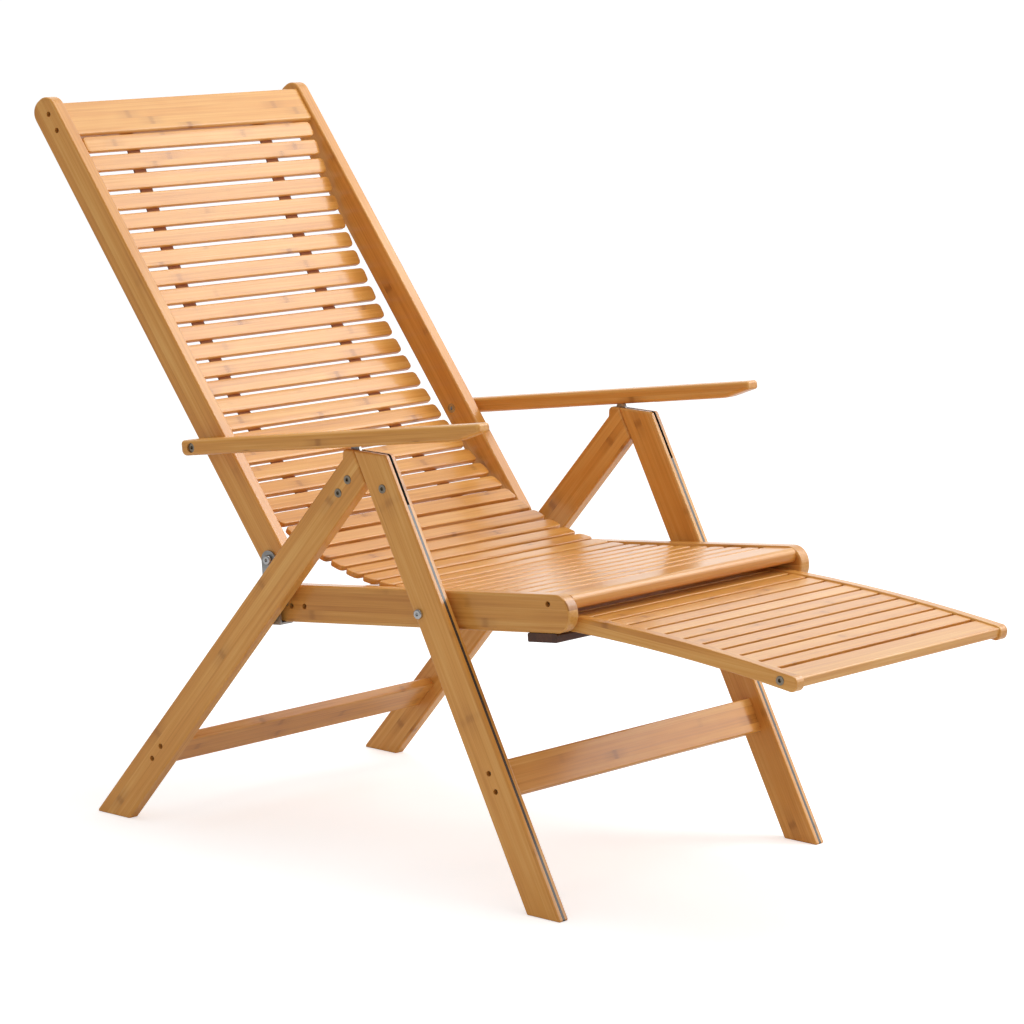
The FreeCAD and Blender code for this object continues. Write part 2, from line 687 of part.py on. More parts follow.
def strap(low, high):
    # Both webbing straps between two lengths along the mat
    steps = max(2, int((high - low) / 15.0))
    upper = []
    lower = []
    for i in range(steps + 1):
        point, along = mat_point(low + (high - low) * i / steps)
        over = shifted(point, along, 0.0, -SLAT_THICK - STRAP_GAP)
        under = shifted(point, along, 0.0, -SLAT_THICK - STRAP_GAP - STRAP_THICK)
        upper.append(Vector(STRAP_CENTRE - STRAP_WIDTH / 2, over[0], over[1]))
        lower.append(Vector(STRAP_CENTRE - STRAP_WIDTH / 2, under[0], under[1]))
    top = Part.BSplineCurve()
    top.interpolate(upper)
    bottom = Part.BSplineCurve()
    bottom.interpolate(lower)
    ends = [Part.LineSegment(upper[0], lower[0]).toShape(), Part.LineSegment(upper[-1], lower[-1]).toShape()]
    wire = Part.Wire(Part.__sortEdges__([top.toShape(), bottom.toShape()] + ends))
    band = Part.Face(wire).extrude(Vector(STRAP_WIDTH, 0, 0))
    return group(both(band))


# Back frame


def back_rail_outline():
    start = shifted(HINGE, UP_BACK, -BACK_RAIL_TAIL)
    length = BACK_RAIL_TOP + BACK_RAIL_TAIL
    front = HINGE_FROM_FRONT_EDGE
    rear = HINGE_FROM_FRONT_EDGE - BACK_RAIL_DEPTH
    return [shifted(start, UP_BACK, 0.0, rear) + (12,), shifted(start, UP_BACK, length, rear) + (BACK_TOP_ROUND,),
            shifted(start, UP_BACK, length, front) + (BACK_TOP_ROUND,), shifted(start, UP_BACK, 0.0, front) + (20,)]


def crest_start():
    return shifted(HINGE, UP_BACK, BACK_RAIL_TOP - CREST_FROM_TOP - CREST_WIDTH)


def crest_screw_centres():
    across = HINGE_FROM_FRONT_EDGE - CREST_SETBACK - CREST_SCREW_FROM_FRONT
    middle = shifted(crest_start(), UP_BACK, CREST_WIDTH / 2 + CREST_SCREW_RAISE, across)
    return [shifted(middle, UP_BACK, -CREST_SCREW_SPACING / 2), shifted(middle, UP_BACK, CREST_SCREW_SPACING / 2)]


def make_back_rail():
    rail = slab(back_rail_outline(), RAIL_INNER, BACK_OUTER)
    rail = eased(rail, 3.0, on_side_faces(RAIL_INNER, BACK_OUTER))
    for centre in (HINGE, ARM_PIVOT):
        rail = rail.cut(pin(centre, BOLT_RADIUS + RUNNING, RAIL_INNER - 1, RAIL_OUTER + 1))
        rail = rail.cut(pin(centre, NUT_RADIUS + RUNNING, RAIL_INNER - 1, RAIL_INNER + NUT_THICK + RUNNING))
    for centre in crest_screw_centres():
        rail = rail.cut(sunk_screw_space(centre, BACK_OUTER))
    return rail


def strap_slot():
    # Where the straps' upper ends are let into the crest rail
    point, along = mat_point(slat_low(1) + SLAT_WIDTH)
    start = shifted(point, along, 0.0, -SLAT_THICK - STRAP_GAP - STRAP_THICK - 0.3)
    return strip(start, along, STRAP_INTO_CREST + SLAT_PITCH - SLAT_WIDTH + 1.0, 0.0, STRAP_THICK + 0.6,
                 STRAP_CENTRE - STRAP_WIDTH / 2 - 0.3, STRAP_CENTRE + STRAP_WIDTH / 2 + 0.3)


def make_crest_rail():
    front = HINGE_FROM_FRONT_EDGE - CREST_SETBACK
    rail = strip(crest_start(), UP_BACK, CREST_WIDTH, front - CREST_THICK, front, -RAIL_INNER, RAIL_INNER,
                 (4, 4, 4, 4))
    for slot in both(strap_slot()):
        rail = rail.cut(slot)
    for centre in crest_screw_centres():
        for screw in both(sunk_screw_space(centre, BACK_OUTER)):
            rail = rail.cut(screw)
    return rail


# Arms


def arm_outline():
    half = ARM_HEIGHT / 2
    rear_top = shifted(ARM_PIVOT, ARM_FORWARD, -ARM_REAR, -half)
    front_top = shifted(ARM_PIVOT, ARM_FORWARD, ARM_FRONT, -half)
    front_low = shifted(ARM_PIVOT, ARM_FORWARD, ARM_FRONT, 1.0)
    sweep = shifted(ARM_PIVOT, ARM_FORWARD, ARM_FRONT - 42.0, half)
    rear_low = shifted(ARM_PIVOT, ARM_FORWARD, -ARM_REAR, half)
    return [rear_top + (5,), rear_low + (8,), sweep + (60,), front_low + (3,), front_top + (4,)]


def make_arm():
    arm = slab(arm_outline(), ARM_INNER, ARM_OUTER)
    arm = eased(arm, ARM_EASE, long_arm_edges)
    groove = strip(shifted(ARM_PIVOT, ARM_FORWARD, GROOVE_FROM), ARM_FORWARD, GROOVE_TO - GROOVE_FROM,
                   ARM_HEIGHT / 2 - GROOVE_DEPTH, ARM_HEIGHT / 2 + 5.0,
                   LEG_MIDDLE - GROOVE_WIDTH / 2, LEG_MIDDLE + GROOVE_WIDTH / 2)
    arm = arm.cut(groove)
    for i in range(NOTCH_COUNT):
        middle = GROOVE_FROM + (GROOVE_TO - GROOVE_FROM) * (i + 0.5) / NOTCH_COUNT
        notch = strip(shifted(ARM_PIVOT, ARM_FORWARD, middle - NOTCH_WIDTH / 2), ARM_FORWARD, NOTCH_WIDTH,
                      ARM_HEIGHT / 2 - GROOVE_DEPTH - NOTCH_DEPTH, ARM_HEIGHT / 2 - GROOVE_DEPTH + 1.0,
                      LEG_MIDDLE - GROOVE_WIDTH / 2, LEG_MIDDLE + GROOVE_WIDTH / 2)
        arm = arm.cut(notch)
    arm = arm.cut(pin(ARM_PIVOT, BOLT_RADIUS + RUNNING, ARM_INNER - 1, ARM_OUTER + 1))
    return arm.cut(pin(ARM_PIVOT, BOLT_HEAD_RADIUS + RUNNING, ARM_OUTER - ARM_BOLT_SINK, ARM_OUTER + 1))


def long_arm_edges(edge):
    box = edge.BoundBox
    flat = box.XLength < 0.001
    return flat and (box.YLength > 60.0)


def make_arm_bolt():
    # Head sunk in the arm, shank through the spacer and the back rail
    head_face = ARM_OUTER - ARM_BOLT_SINK + SIDE_CLEARANCE
    head = pin(ARM_PIVOT, BOLT_HEAD_RADIUS, head_face, head_face + 4.0)
    shank = pin(ARM_PIVOT, BOLT_RADIUS, RAIL_INNER + NUT_THICK, head_face)
    whole = head.fuse(shank).removeSplitter()
    return whole.cut(hex_socket(ARM_PIVOT, 5.0, head_face + 4.0, 2.4))


def spacer(centre, x_from, x_to, radius):
    ring = pin(centre, radius, x_from, x_to)
    return ring.cut(pin(centre, BOLT_RADIUS, x_from - 1, x_to + 1))


# Footrest, curved about a centre far below, so that it slides along its own arc


def arc_point(y, depth):
    radius = FOOTREST_RADIUS - depth
    return (y, FOOTREST_CENTRE[1] + math.sqrt(radius ** 2 - (y - FOOTREST_CENTRE[0]) ** 2))


def arc_slab(y_rear, y_front, depth_from, depth_to, x_from, x_to):
    # A piece of the footrest's curved band, its ends square to the arc
    reach = FOOTREST_RADIUS
    points = []
    for depth in (depth_from, depth_to):
        for y in (y_rear, (y_rear + y_front) / 2, y_front):
            angle = math.asin((y - FOOTREST_CENTRE[0]) / reach)
            radius = reach - depth
            points.append(Vector(x_from, FOOTREST_CENTRE[0] + radius * math.sin(angle),
                                 FOOTREST_CENTRE[1] + radius * math.cos(angle)))
    top = Part.Arc(points[0], points[1], points[2]).toShape()
    bottom = Part.Arc(points[3], points[4], points[5]).toShape()
    rear = Part.LineSegment(points[0], points[3]).toShape()
    front = Part.LineSegment(points[2], points[5]).toShape()
    return Part.Face(Part.Wire([top, front, bottom, rear])).extrude(Vector(x_to - x_from, 0, 0))


def across_edges(edge):
    return edge.BoundBox.XLength > 1.0


def make_footrest_rail():
    rail = arc_slab(FOOTREST_REAR_Y, FOOTREST_TIP_Y, 0.0, FOOTREST_DEPTH, FOOTREST_INNER, FOOTREST_OUTER)
    front = [edge for edge in rail.Edges if across_edges(edge) and edge.BoundBox.YMin < FOOTREST_TIP_Y + 30]
    rail = rail.makeFillet(FOOTREST_TIP_ROUND, front)
    rail = eased(rail, 2.0, on_side_faces(FOOTREST_INNER, FOOTREST_OUTER))
    for centre in footrest_screw_centres():
        rail = rail.cut(cap_screw_space(centre, FOOTREST_OUTER, 24.0))
    return rail


def footrest_screw_centres():
    depth = FOOTREST_SLAT_DROP + FOOTREST_END_THICK / 2 + 1.5
    return [arc_point(FOOTREST_TIP_Y + 27.0, depth), arc_point(FOOTREST_REAR_Y - FOOTREST_REAR_BAR / 2, depth)]


def make_footrest_end_board():
    low = FOOTREST_SLAT_DROP + FOOTREST_END_THICK
    board = arc_slab(FOOTREST_FIRST_GAP_Y - 1.5, FOOTREST_TIP_Y + 3.0, FOOTREST_SLAT_DROP, low,
                     -FOOTREST_INNER, FOOTREST_INNER)
    board = eased(board, 3.0, across_edges)
    for screw in both(cap_screw_space(footrest_screw_centres()[0], FOOTREST_OUTER, 24.0)):
        board = board.cut(screw)
    return board


def make_footrest_rear_bar():
    low = FOOTREST_SLAT_DROP + FOOTREST_END_THICK
    bar = arc_slab(FOOTREST_REAR_Y - 0.5, FOOTREST_REAR_Y - FOOTREST_REAR_BAR, FOOTREST_SLAT_DROP, low,
                   -FOOTREST_INNER, FOOTREST_INNER)
    bar = eased(bar, 2.0, across_edges)
    for screw in both(cap_screw_space(footrest_screw_centres()[1], FOOTREST_OUTER, 24.0)):
        bar = bar.cut(screw)
    return bar


def make_footrest_slats():
    slats = []
    for i in range(FOOTREST_SLAT_COUNT):
        front = FOOTREST_FIRST_GAP_Y + 4.5 + FOOTREST_PITCH * i
        slat = arc_slab(front + FOOTREST_SLAT_WIDTH, front, FOOTREST_SLAT_DROP,
                        FOOTREST_SLAT_DROP + FOOTREST_SLAT_THICK, -FOOTREST_INNER, FOOTREST_INNER)
        slats.append(eased(slat, 1.8, across_edges))
    return group(slats)


# All the nodes


def paired(name, solid):
    return {name + "_left": solid, name + "_right": mirrored(solid)}


def make_nodes():
    nodes = {}
    nodes.update(paired("front_leg", make_front_leg()))
    nodes.update(paired("rear_leg", make_rear_leg()))
    nodes.update(paired("apex_plate", make_apex_plate()))
    nodes["front_cross_rail"] = cross_rail(APEX, DOWN_FRONT_LEG, FRONT_CROSS_DOWN)
    nodes["rear_cross_rail"] = cross_rail(REAR_AXIS, DOWN_REAR_LEG, REAR_CROSS_DOWN)
    nodes["front_cross_rail_screws"] = screw_pairs(cross_screws(APEX, DOWN_FRONT_LEG, FRONT_CROSS_DOWN), LEG_OUTER)
    nodes["rear_cross_rail_screws"] = screw_pairs(cross_screws(REAR_AXIS, DOWN_REAR_LEG, REAR_CROSS_DOWN), LEG_OUTER)
    nodes["apex_pivot_screws"] = group(both(cap_screw(APEX, LEG_OUTER, LEG_THICK - CAP_HEIGHT - 2.0)))
    nodes["apex_plate_screws"] = group([screw for centre in rear_plate_screws()
                                        for screw in both(cap_screw(centre, LEG_OUTER, LEG_THICK - CAP_HEIGHT - 2.0))])
    nodes["seat_rest_brackets"] = group(both(make_rest_bracket()))
    nodes["rest_bracket_screws"] = group(both(make_bracket_screw()))
    nodes["seat_bolts"] = group(both(bolt(SEAT_BOLT, LEG_OUTER, RAIL_INNER + NUT_THICK)))
    nodes["seat_bolt_nuts"] = group(both(nut(SEAT_BOLT, RAIL_INNER)))
    nodes["seat_bolt_spacers"] = group(both(spacer(SEAT_BOLT, RAIL_OUTER + SIDE_CLEARANCE, LEG_INNER, 9.0)))

    nodes.update(paired("seat_rail", make_seat_rail()))
    nodes["seat_front_rail"] = make_seat_front_rail()
    nodes["seat_cross_rail"] = make_seat_cross_rail()
    nodes["seat_frame_screws"] = screw_pairs(seat_screw_centres(), RAIL_OUTER)
    nodes["footrest_support_board"] = make_support_board()
    middle = (RAIL_OUTER + RAIL_INNER) / 2
    nodes["support_board_screws"] = group([screw for centre in support_screw_centres()
                                           for screw in both(upright_screw(centre, middle))])
    nodes.update(paired("hinge_plate", make_hinge_plate()))
    nodes["hinge_plate_screws"] = group([screw for centre in hinge_plate_screws()
                                         for screw in both(hinge_plate_screw(centre))])
    turn_first = SLAT_COUNT_BACK + 1
    seat_first = turn_first + SLAT_COUNT_TURN
    seat_last = seat_first + SLAT_COUNT_SEAT - 1
    nodes["seat_slats"] = mat_slats(seat_first, seat_last)
    nodes["seat_straps"] = strap(slat_low(seat_last), slat_low(seat_first) + SLAT_WIDTH)
    nodes["turn_slats"] = mat_slats(turn_first, seat_first - 1)
    nodes["turn_straps"] = strap(slat_low(seat_first) + SLAT_WIDTH, slat_low(turn_first) + SLAT_WIDTH)

    hinge_head = RAIL_OUTER + HINGE_PLATE_THICK + SIDE_CLEARANCE
    nodes["hinge_bolts"] = group(both(bolt(HINGE, hinge_head, RAIL_INNER + NUT_THICK)))
    nodes["hinge_bolt_nuts"] = group(both(nut(HINGE, RAIL_INNER)))

    nodes.update(paired("back_rail", make_back_rail()))
    nodes["crest_rail"] = make_crest_rail()
    nodes["crest_rail_screws"] = screw_pairs(crest_screw_centres(), BACK_OUTER)
    nodes["back_slats"] = mat_slats(1, SLAT_COUNT_BACK)
    nodes["back_straps"] = strap(slat_low(turn_first) + SLAT_WIDTH,
                                 slat_low(1) + SLAT_PITCH + STRAP_INTO_CREST)

    nodes.update(paired("arm", make_arm()))
    nodes.update(paired("arm_bolt", make_arm_bolt()))
    nodes.update(paired("arm_bolt_nut", nut(ARM_PIVOT, RAIL_INNER)))
    nodes.update(paired("arm_spacer", spacer(ARM_PIVOT, BACK_OUTER + SIDE_CLEARANCE, ARM_INNER - SIDE_CLEARANCE, 8.0)))

    nodes.update(paired("footrest_rail", make_footrest_rail()))
    nodes["footrest_end_board"] = make_footrest_end_board()
    nodes["footrest_rear_bar"] = make_footrest_rear_bar()
    nodes["footrest_slats"] = make_footrest_slats()
    nodes["footrest_screws"] = group([screw for centre in footrest_screw_centres()
                                      for screw in both(cap_screw(centre, FOOTREST_OUTER, 24.0))])
    return nodes


def screw_pairs(centres, x_face):
    return group([screw for centre in centres for screw in both(sunk_screw(centre, x_face))])


def main():
    os.makedirs("parts", exist_ok=True)
    nodes = make_nodes()
    low = min(shape.BoundBox.YMin for shape in nodes.values())
    high = max(shape.BoundBox.YMax for shape in nodes.values())
    shift = -(low + high) / 2
    for name, shape in nodes.items():
        shape.translate(Vector(0, shift, 0))
        shape.exportStep(os.path.join("parts", name + ".step"))
    print("length", round(high - low, 2), "shift along Y", round(shift, 3))
    pivots = {"apex": APEX, "seat_bolt": SEAT_BOLT, "hinge": HINGE, "arm_pivot": ARM_PIVOT,
              "footrest_centre": FOOTREST_CENTRE}
    for name, point in pivots.items():
        print("pivot", name, round(point[0] + shift, 3), round(point[1], 3))


main()
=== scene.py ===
# Folding bamboo recliner: slatted sling on webbing, A-shaped legs, swinging arms, sliding footrest.
# Metres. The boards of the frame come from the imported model; the slats and the webbing are made here.

import math

import bmesh
import bpy
from mathutils import Matrix, Quaternion, Vector


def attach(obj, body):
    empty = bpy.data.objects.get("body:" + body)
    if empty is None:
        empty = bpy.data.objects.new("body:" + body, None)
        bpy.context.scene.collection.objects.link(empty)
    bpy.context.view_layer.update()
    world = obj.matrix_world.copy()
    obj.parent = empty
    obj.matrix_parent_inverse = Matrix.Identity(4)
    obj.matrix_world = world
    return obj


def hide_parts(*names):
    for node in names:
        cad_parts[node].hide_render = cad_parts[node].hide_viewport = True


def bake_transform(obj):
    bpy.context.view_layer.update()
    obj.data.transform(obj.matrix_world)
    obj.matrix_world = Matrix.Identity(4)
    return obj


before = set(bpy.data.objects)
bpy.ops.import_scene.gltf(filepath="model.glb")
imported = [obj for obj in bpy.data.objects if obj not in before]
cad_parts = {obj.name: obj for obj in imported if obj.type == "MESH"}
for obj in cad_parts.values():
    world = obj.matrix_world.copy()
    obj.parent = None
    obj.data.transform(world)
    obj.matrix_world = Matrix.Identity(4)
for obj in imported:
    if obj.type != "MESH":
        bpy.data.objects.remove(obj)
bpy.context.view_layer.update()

# Where the chair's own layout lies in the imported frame
LAYOUT_SHIFT = 0.044859

# Sling
SLAT_HALF_LENGTH = 0.241
SLAT_WIDTH = 0.024
SLAT_THICK = 0.008
SLAT_PITCH = 0.030
SLAT_CORNER = 0.007
SLAT_EASE = 0.0018
SLING_TOP = 0.8485
SLING_STRAIGHT_FROM = SLING_TOP - 0.003
SLING_TOP_LEAN = math.radians(58.5)
SLING_CURVE = 0.3924
SLING_LOW_Y = -0.0466 + LAYOUT_SHIFT
SEAT_SURFACE = (-0.1371 + LAYOUT_SHIFT, 0.4025)
SLING_PITCH_BACK = math.radians(6.5)
BACK_SLATS = 18
BEND_UPPER_SLATS = 5
BEND_LOWER_SLATS = 5
SEAT_SLATS = 10
BEND_FIRST = BACK_SLATS + 1
BEND_MIDDLE = BEND_FIRST + BEND_UPPER_SLATS
SEAT_FIRST = BEND_MIDDLE + BEND_LOWER_SLATS
SEAT_LAST = SEAT_FIRST + SEAT_SLATS - 1
HALF_GAP = (SLAT_PITCH - SLAT_WIDTH) / 2
STRAP_CENTRE = 0.1405
STRAP_WIDTH = 0.025
STRAP_THICK = 0.002
STRAP_GAP = 0.0003
STRAP_INTO_CREST = 0.012
# Width of the painted shade along each long edge of a strap
STRAP_SHADE_RIM = 0.0022
STRAP_STEP = 0.006
PATH_SPARE = 0.05
SLING_PATH_STEP = 0.003
SLAT_WANDER = 0.0008

# Footrest
FOOTREST_RADIUS = 2.9
FOOTREST_CREST = Vector((0.0, -0.330 + LAYOUT_SHIFT, 0.398))
FOOTREST_FIRST_SLAT = -0.6725 + LAYOUT_SHIFT
FOOTREST_SLATS = 12
FOOTREST_PITCH = 0.0306
FOOTREST_SLAT_WIDTH = 0.0246
FOOTREST_SLAT_THICK = 0.009
FOOTREST_SLAT_DROP = 0.002
FOOTREST_HALF_WIDTH = 0.2256

# Front legs: middle of a leg's thickness, and the sawn slot in it
LEG_MIDDLE = 0.290
KERF_HALF_WIDTH = 0.0023
KERF_SKIN = 0.0002

# Leans of the boards' length, in the side view, in degrees from +Y
LEAN = {"front_leg": 61.1, "rear_leg": -51.2, "seat_rail": -6.5, "back_rail": 52.0, "arm": -9.2,
        "footrest_rail": 3.2}


def tint(red, green, blue):
    # A colour written as 0-255 screen values
    def linear(value):
        value /= 255.0
        return value / 12.92 if value <= 0.04045 else ((value + 0.055) / 1.055) ** 2.4
    return (linear(red), linear(green), linear(blue), 1.0)


# Shader building


def add(tree, kind, inputs=None, **settings):
    node = tree.nodes.new(kind)
    for name, value in settings.items():
        setattr(node, name, value)
    for name, value in (inputs or {}).items():
        socket = node.inputs[name]
        if isinstance(value, bpy.types.NodeSocket):
            tree.links.new(value, socket)
        else:
            socket.default_value = value
    return node


def calc(tree, operation, *values):
    node = add(tree, "ShaderNodeMath", {i: v for i, v in enumerate(values)}, operation=operation)
    return node.outputs[0]


def vector_calc(tree, operation, *values):
    node = add(tree, "ShaderNodeVectorMath", {i: v for i, v in enumerate(values)}, operation=operation)
    return node.outputs[0]


def spread(tree, value, low, high, out_low=0.0, out_high=1.0, smooth=False):
    node = add(tree, "ShaderNodeMapRange", {0: value, 1: low, 2: high, 3: out_low, 4: out_high})
    if smooth:
        node.interpolation_type = "SMOOTHSTEP"
    return node.outputs[0]


def blend_colours(tree, factor, first, second, mode="MIX"):
    node = add(tree, "ShaderNodeMix", data_type="RGBA", blend_type=mode)
    node.clamp_factor = True
    for socket, value in zip((node.inputs[0], node.inputs[6], node.inputs[7]), (factor, first, second)):
        if isinstance(value, bpy.types.NodeSocket):
            tree.links.new(value, socket)
        else:
            socket.default_value = value
    return node.outputs[2]


def noise(tree, vector, scale, detail=2.0, roughness=0.5, out="Fac"):
    node = add(tree, "ShaderNodeTexNoise",
               {"Vector": vector, "Scale": scale, "Detail": detail, "Roughness": roughness})
    return node.outputs[out]


def bamboo_group():
    # Colour and relief of strip-laminated bamboo for a point given as (along, across, depth) in metres
    tree = bpy.data.node_groups.new("laminated bamboo", "ShaderNodeTree")
    for name, kind in (("Point", "NodeSocketVector"), ("Seed", "NodeSocketFloat"),
                       ("Strip width", "NodeSocketFloat"), ("Strip depth", "NodeSocketFloat"),
                       ("Knuckle spacing", "NodeSocketFloat"), ("Dark", "NodeSocketColor"),
                       ("Middle", "NodeSocketColor"), ("Light", "NodeSocketColor"),
                       ("Knuckle", "NodeSocketColor")):
        tree.interface.new_socket(name, in_out="INPUT", socket_type=kind)
    for name, kind in (("Colour", "NodeSocketColor"), ("Relief", "NodeSocketFloat"),
                       ("Roughness", "NodeSocketFloat")):
        tree.interface.new_socket(name, in_out="OUTPUT", socket_type=kind)
    given = add(tree, "NodeGroupInput").outputs
    result = add(tree, "NodeGroupOutput")
    split = add(tree, "ShaderNodeSeparateXYZ", {0: given["Point"]}).outputs
    along, across, depth = split[0], split[1], split[2]

    # A slow waver keeps the glue lines from being ruler-straight
    waver_at = add(tree, "ShaderNodeCombineXYZ",
                   {0: calc(tree, "MULTIPLY", along, 2.3), 1: given["Seed"]}).outputs[0]
    waver = calc(tree, "MULTIPLY", calc(tree, "SUBTRACT", noise(tree, waver_at, 1.0, 1.0), 0.5), 0.0012)
    across = calc(tree, "ADD", across, waver)
    column = calc(tree, "ADD", calc(tree, "DIVIDE", across, given["Strip width"]), given["Seed"])
    row = calc(tree, "ADD", calc(tree, "DIVIDE", depth, given["Strip depth"]), 0.5)
    cell = add(tree, "ShaderNodeCombineXYZ",
               {0: calc(tree, "FLOOR", column), 1: calc(tree, "FLOOR", row), 2: given["Seed"]}).outputs[0]
    chance = add(tree, "ShaderNodeTexWhiteNoise", {"Vector": cell}, noise_dimensions="3D").outputs
    tones = add(tree, "ShaderNodeSeparateColor", {0: chance["Color"]}).outputs

    # Fibres run along the strip, at two widths
    fine_at = add(tree, "ShaderNodeCombineXYZ",
                  {0: calc(tree, "MULTIPLY", along, 9.0), 1: calc(tree, "MULTIPLY", across, 900.0),
                   2: calc(tree, "MULTIPLY", depth, 900.0)}).outputs[0]
    seed_at = add(tree, "ShaderNodeCombineXYZ", {0: calc(tree, "MULTIPLY", given["Seed"], 7.3),
                                                 1: calc(tree, "MULTIPLY", chance["Value"], 31.0)}).outputs[0]
    fine = noise(tree, vector_calc(tree, "ADD", fine_at, seed_at), 1.0, 3.0, 0.6)
    broad_at = add(tree, "ShaderNodeCombineXYZ",
                   {0: calc(tree, "MULTIPLY", along, 3.2), 1: calc(tree, "MULTIPLY", across, 210.0),
                    2: calc(tree, "MULTIPLY", depth, 210.0)}).outputs[0]
    broad = noise(tree, vector_calc(tree, "ADD", broad_at, seed_at), 1.0, 2.0, 0.55)
    patch = noise(tree, vector_calc(tree, "ADD", given["Point"], seed_at), 7.0, 2.0, 0.5)

    tone = calc(tree, "MULTIPLY", calc(tree, "SUBTRACT", tones[0], 0.5), 0.26)
    tone = calc(tree, "ADD", tone, calc(tree, "MULTIPLY", calc(tree, "SUBTRACT", fine, 0.5), 0.55))
    tone = calc(tree, "ADD", tone, calc(tree, "MULTIPLY", calc(tree, "SUBTRACT", broad, 0.5), 0.75))
    tone = calc(tree, "ADD", tone, calc(tree, "MULTIPLY", calc(tree, "SUBTRACT", patch, 0.5), 0.45))
    tone = calc(tree, "ADD", tone, 0.5)
    low = blend_colours(tree, spread(tree, tone, 0.0, 0.5), given["Dark"], given["Middle"])
    colour = blend_colours(tree, spread(tree, tone, 0.5, 1.0), low, given["Light"])

    # Glue lines between the strips
    edge = calc(tree, "ABSOLUTE", calc(tree, "SUBTRACT", calc(tree, "FRACT", column), 0.5))
    line = calc(tree, "MULTIPLY", spread(tree, edge, 0.47, 0.5, smooth=True), 0.26)
    colour = blend_colours(tree, line, colour, given["Dark"])

    # Knuckles: each strip has its own, a soft darker band with a fainter shade around it
    ragged = noise(tree, vector_calc(tree, "ADD", fine_at, seed_at), 0.45, 2.0, 0.7)
    place = calc(tree, "DIVIDE", along, given["Knuckle spacing"])
    place = calc(tree, "ADD", place, calc(tree, "MULTIPLY", tones[1], 1.0))
    place = calc(tree, "SUBTRACT", calc(tree, "FRACT", place), 0.5)
    place = calc(tree, "MULTIPLY", place, given["Knuckle spacing"])
    place = calc(tree, "ADD", place, calc(tree, "MULTIPLY", calc(tree, "SUBTRACT", ragged, 0.5), 0.006))
    away = calc(tree, "ABSOLUTE", place)
    bar = spread(tree, away, 0.001, 0.0085, 1.0, 0.0, smooth=True)
    shade = spread(tree, away, 0.006, 0.034, 1.0, 0.0, smooth=True)
    strength = spread(tree, tones[2], 0.45, 1.0, 0.0, 1.0)
    colour = blend_colours(tree, calc(tree, "MULTIPLY", calc(tree, "MULTIPLY", shade, strength), 0.26),
                           colour, given["Knuckle"])
    colour = blend_colours(tree, calc(tree, "MULTIPLY", calc(tree, "MULTIPLY", bar, strength), 0.5),
                           colour, given["Knuckle"])

    relief = calc(tree, "SUBTRACT", calc(tree, "MULTIPLY", fine, 0.5), calc(tree, "MULTIPLY", line, 1.2))
    relief = calc(tree, "ADD", relief, calc(tree, "MULTIPLY", calc(tree, "MULTIPLY", bar, strength), 0.5))
    rough = spread(tree, broad, 0.2, 0.8, 0.30, 0.42)
    tree.links.new(colour, result.inputs["Colour"])
    tree.links.new(relief, result.inputs["Relief"])
    tree.links.new(rough, result.inputs["Roughness"])
    return tree


BAMBOO = bamboo_group()


TONES = {"Dark": (190, 119, 48), "Middle": (221, 155, 74), "Light": (240, 188, 110), "Knuckle": (136, 74, 28)}
DARK_TONES = {"Dark": (58, 30, 16), "Middle": (80, 44, 24), "Light": (100, 58, 32), "Knuckle": (50, 26, 14)}
# Painted shade: the dark grey-brown that stands in for the shade inside the front legs' sawn slot
KERF_PAINTED_SHADE = (62, 54, 46)


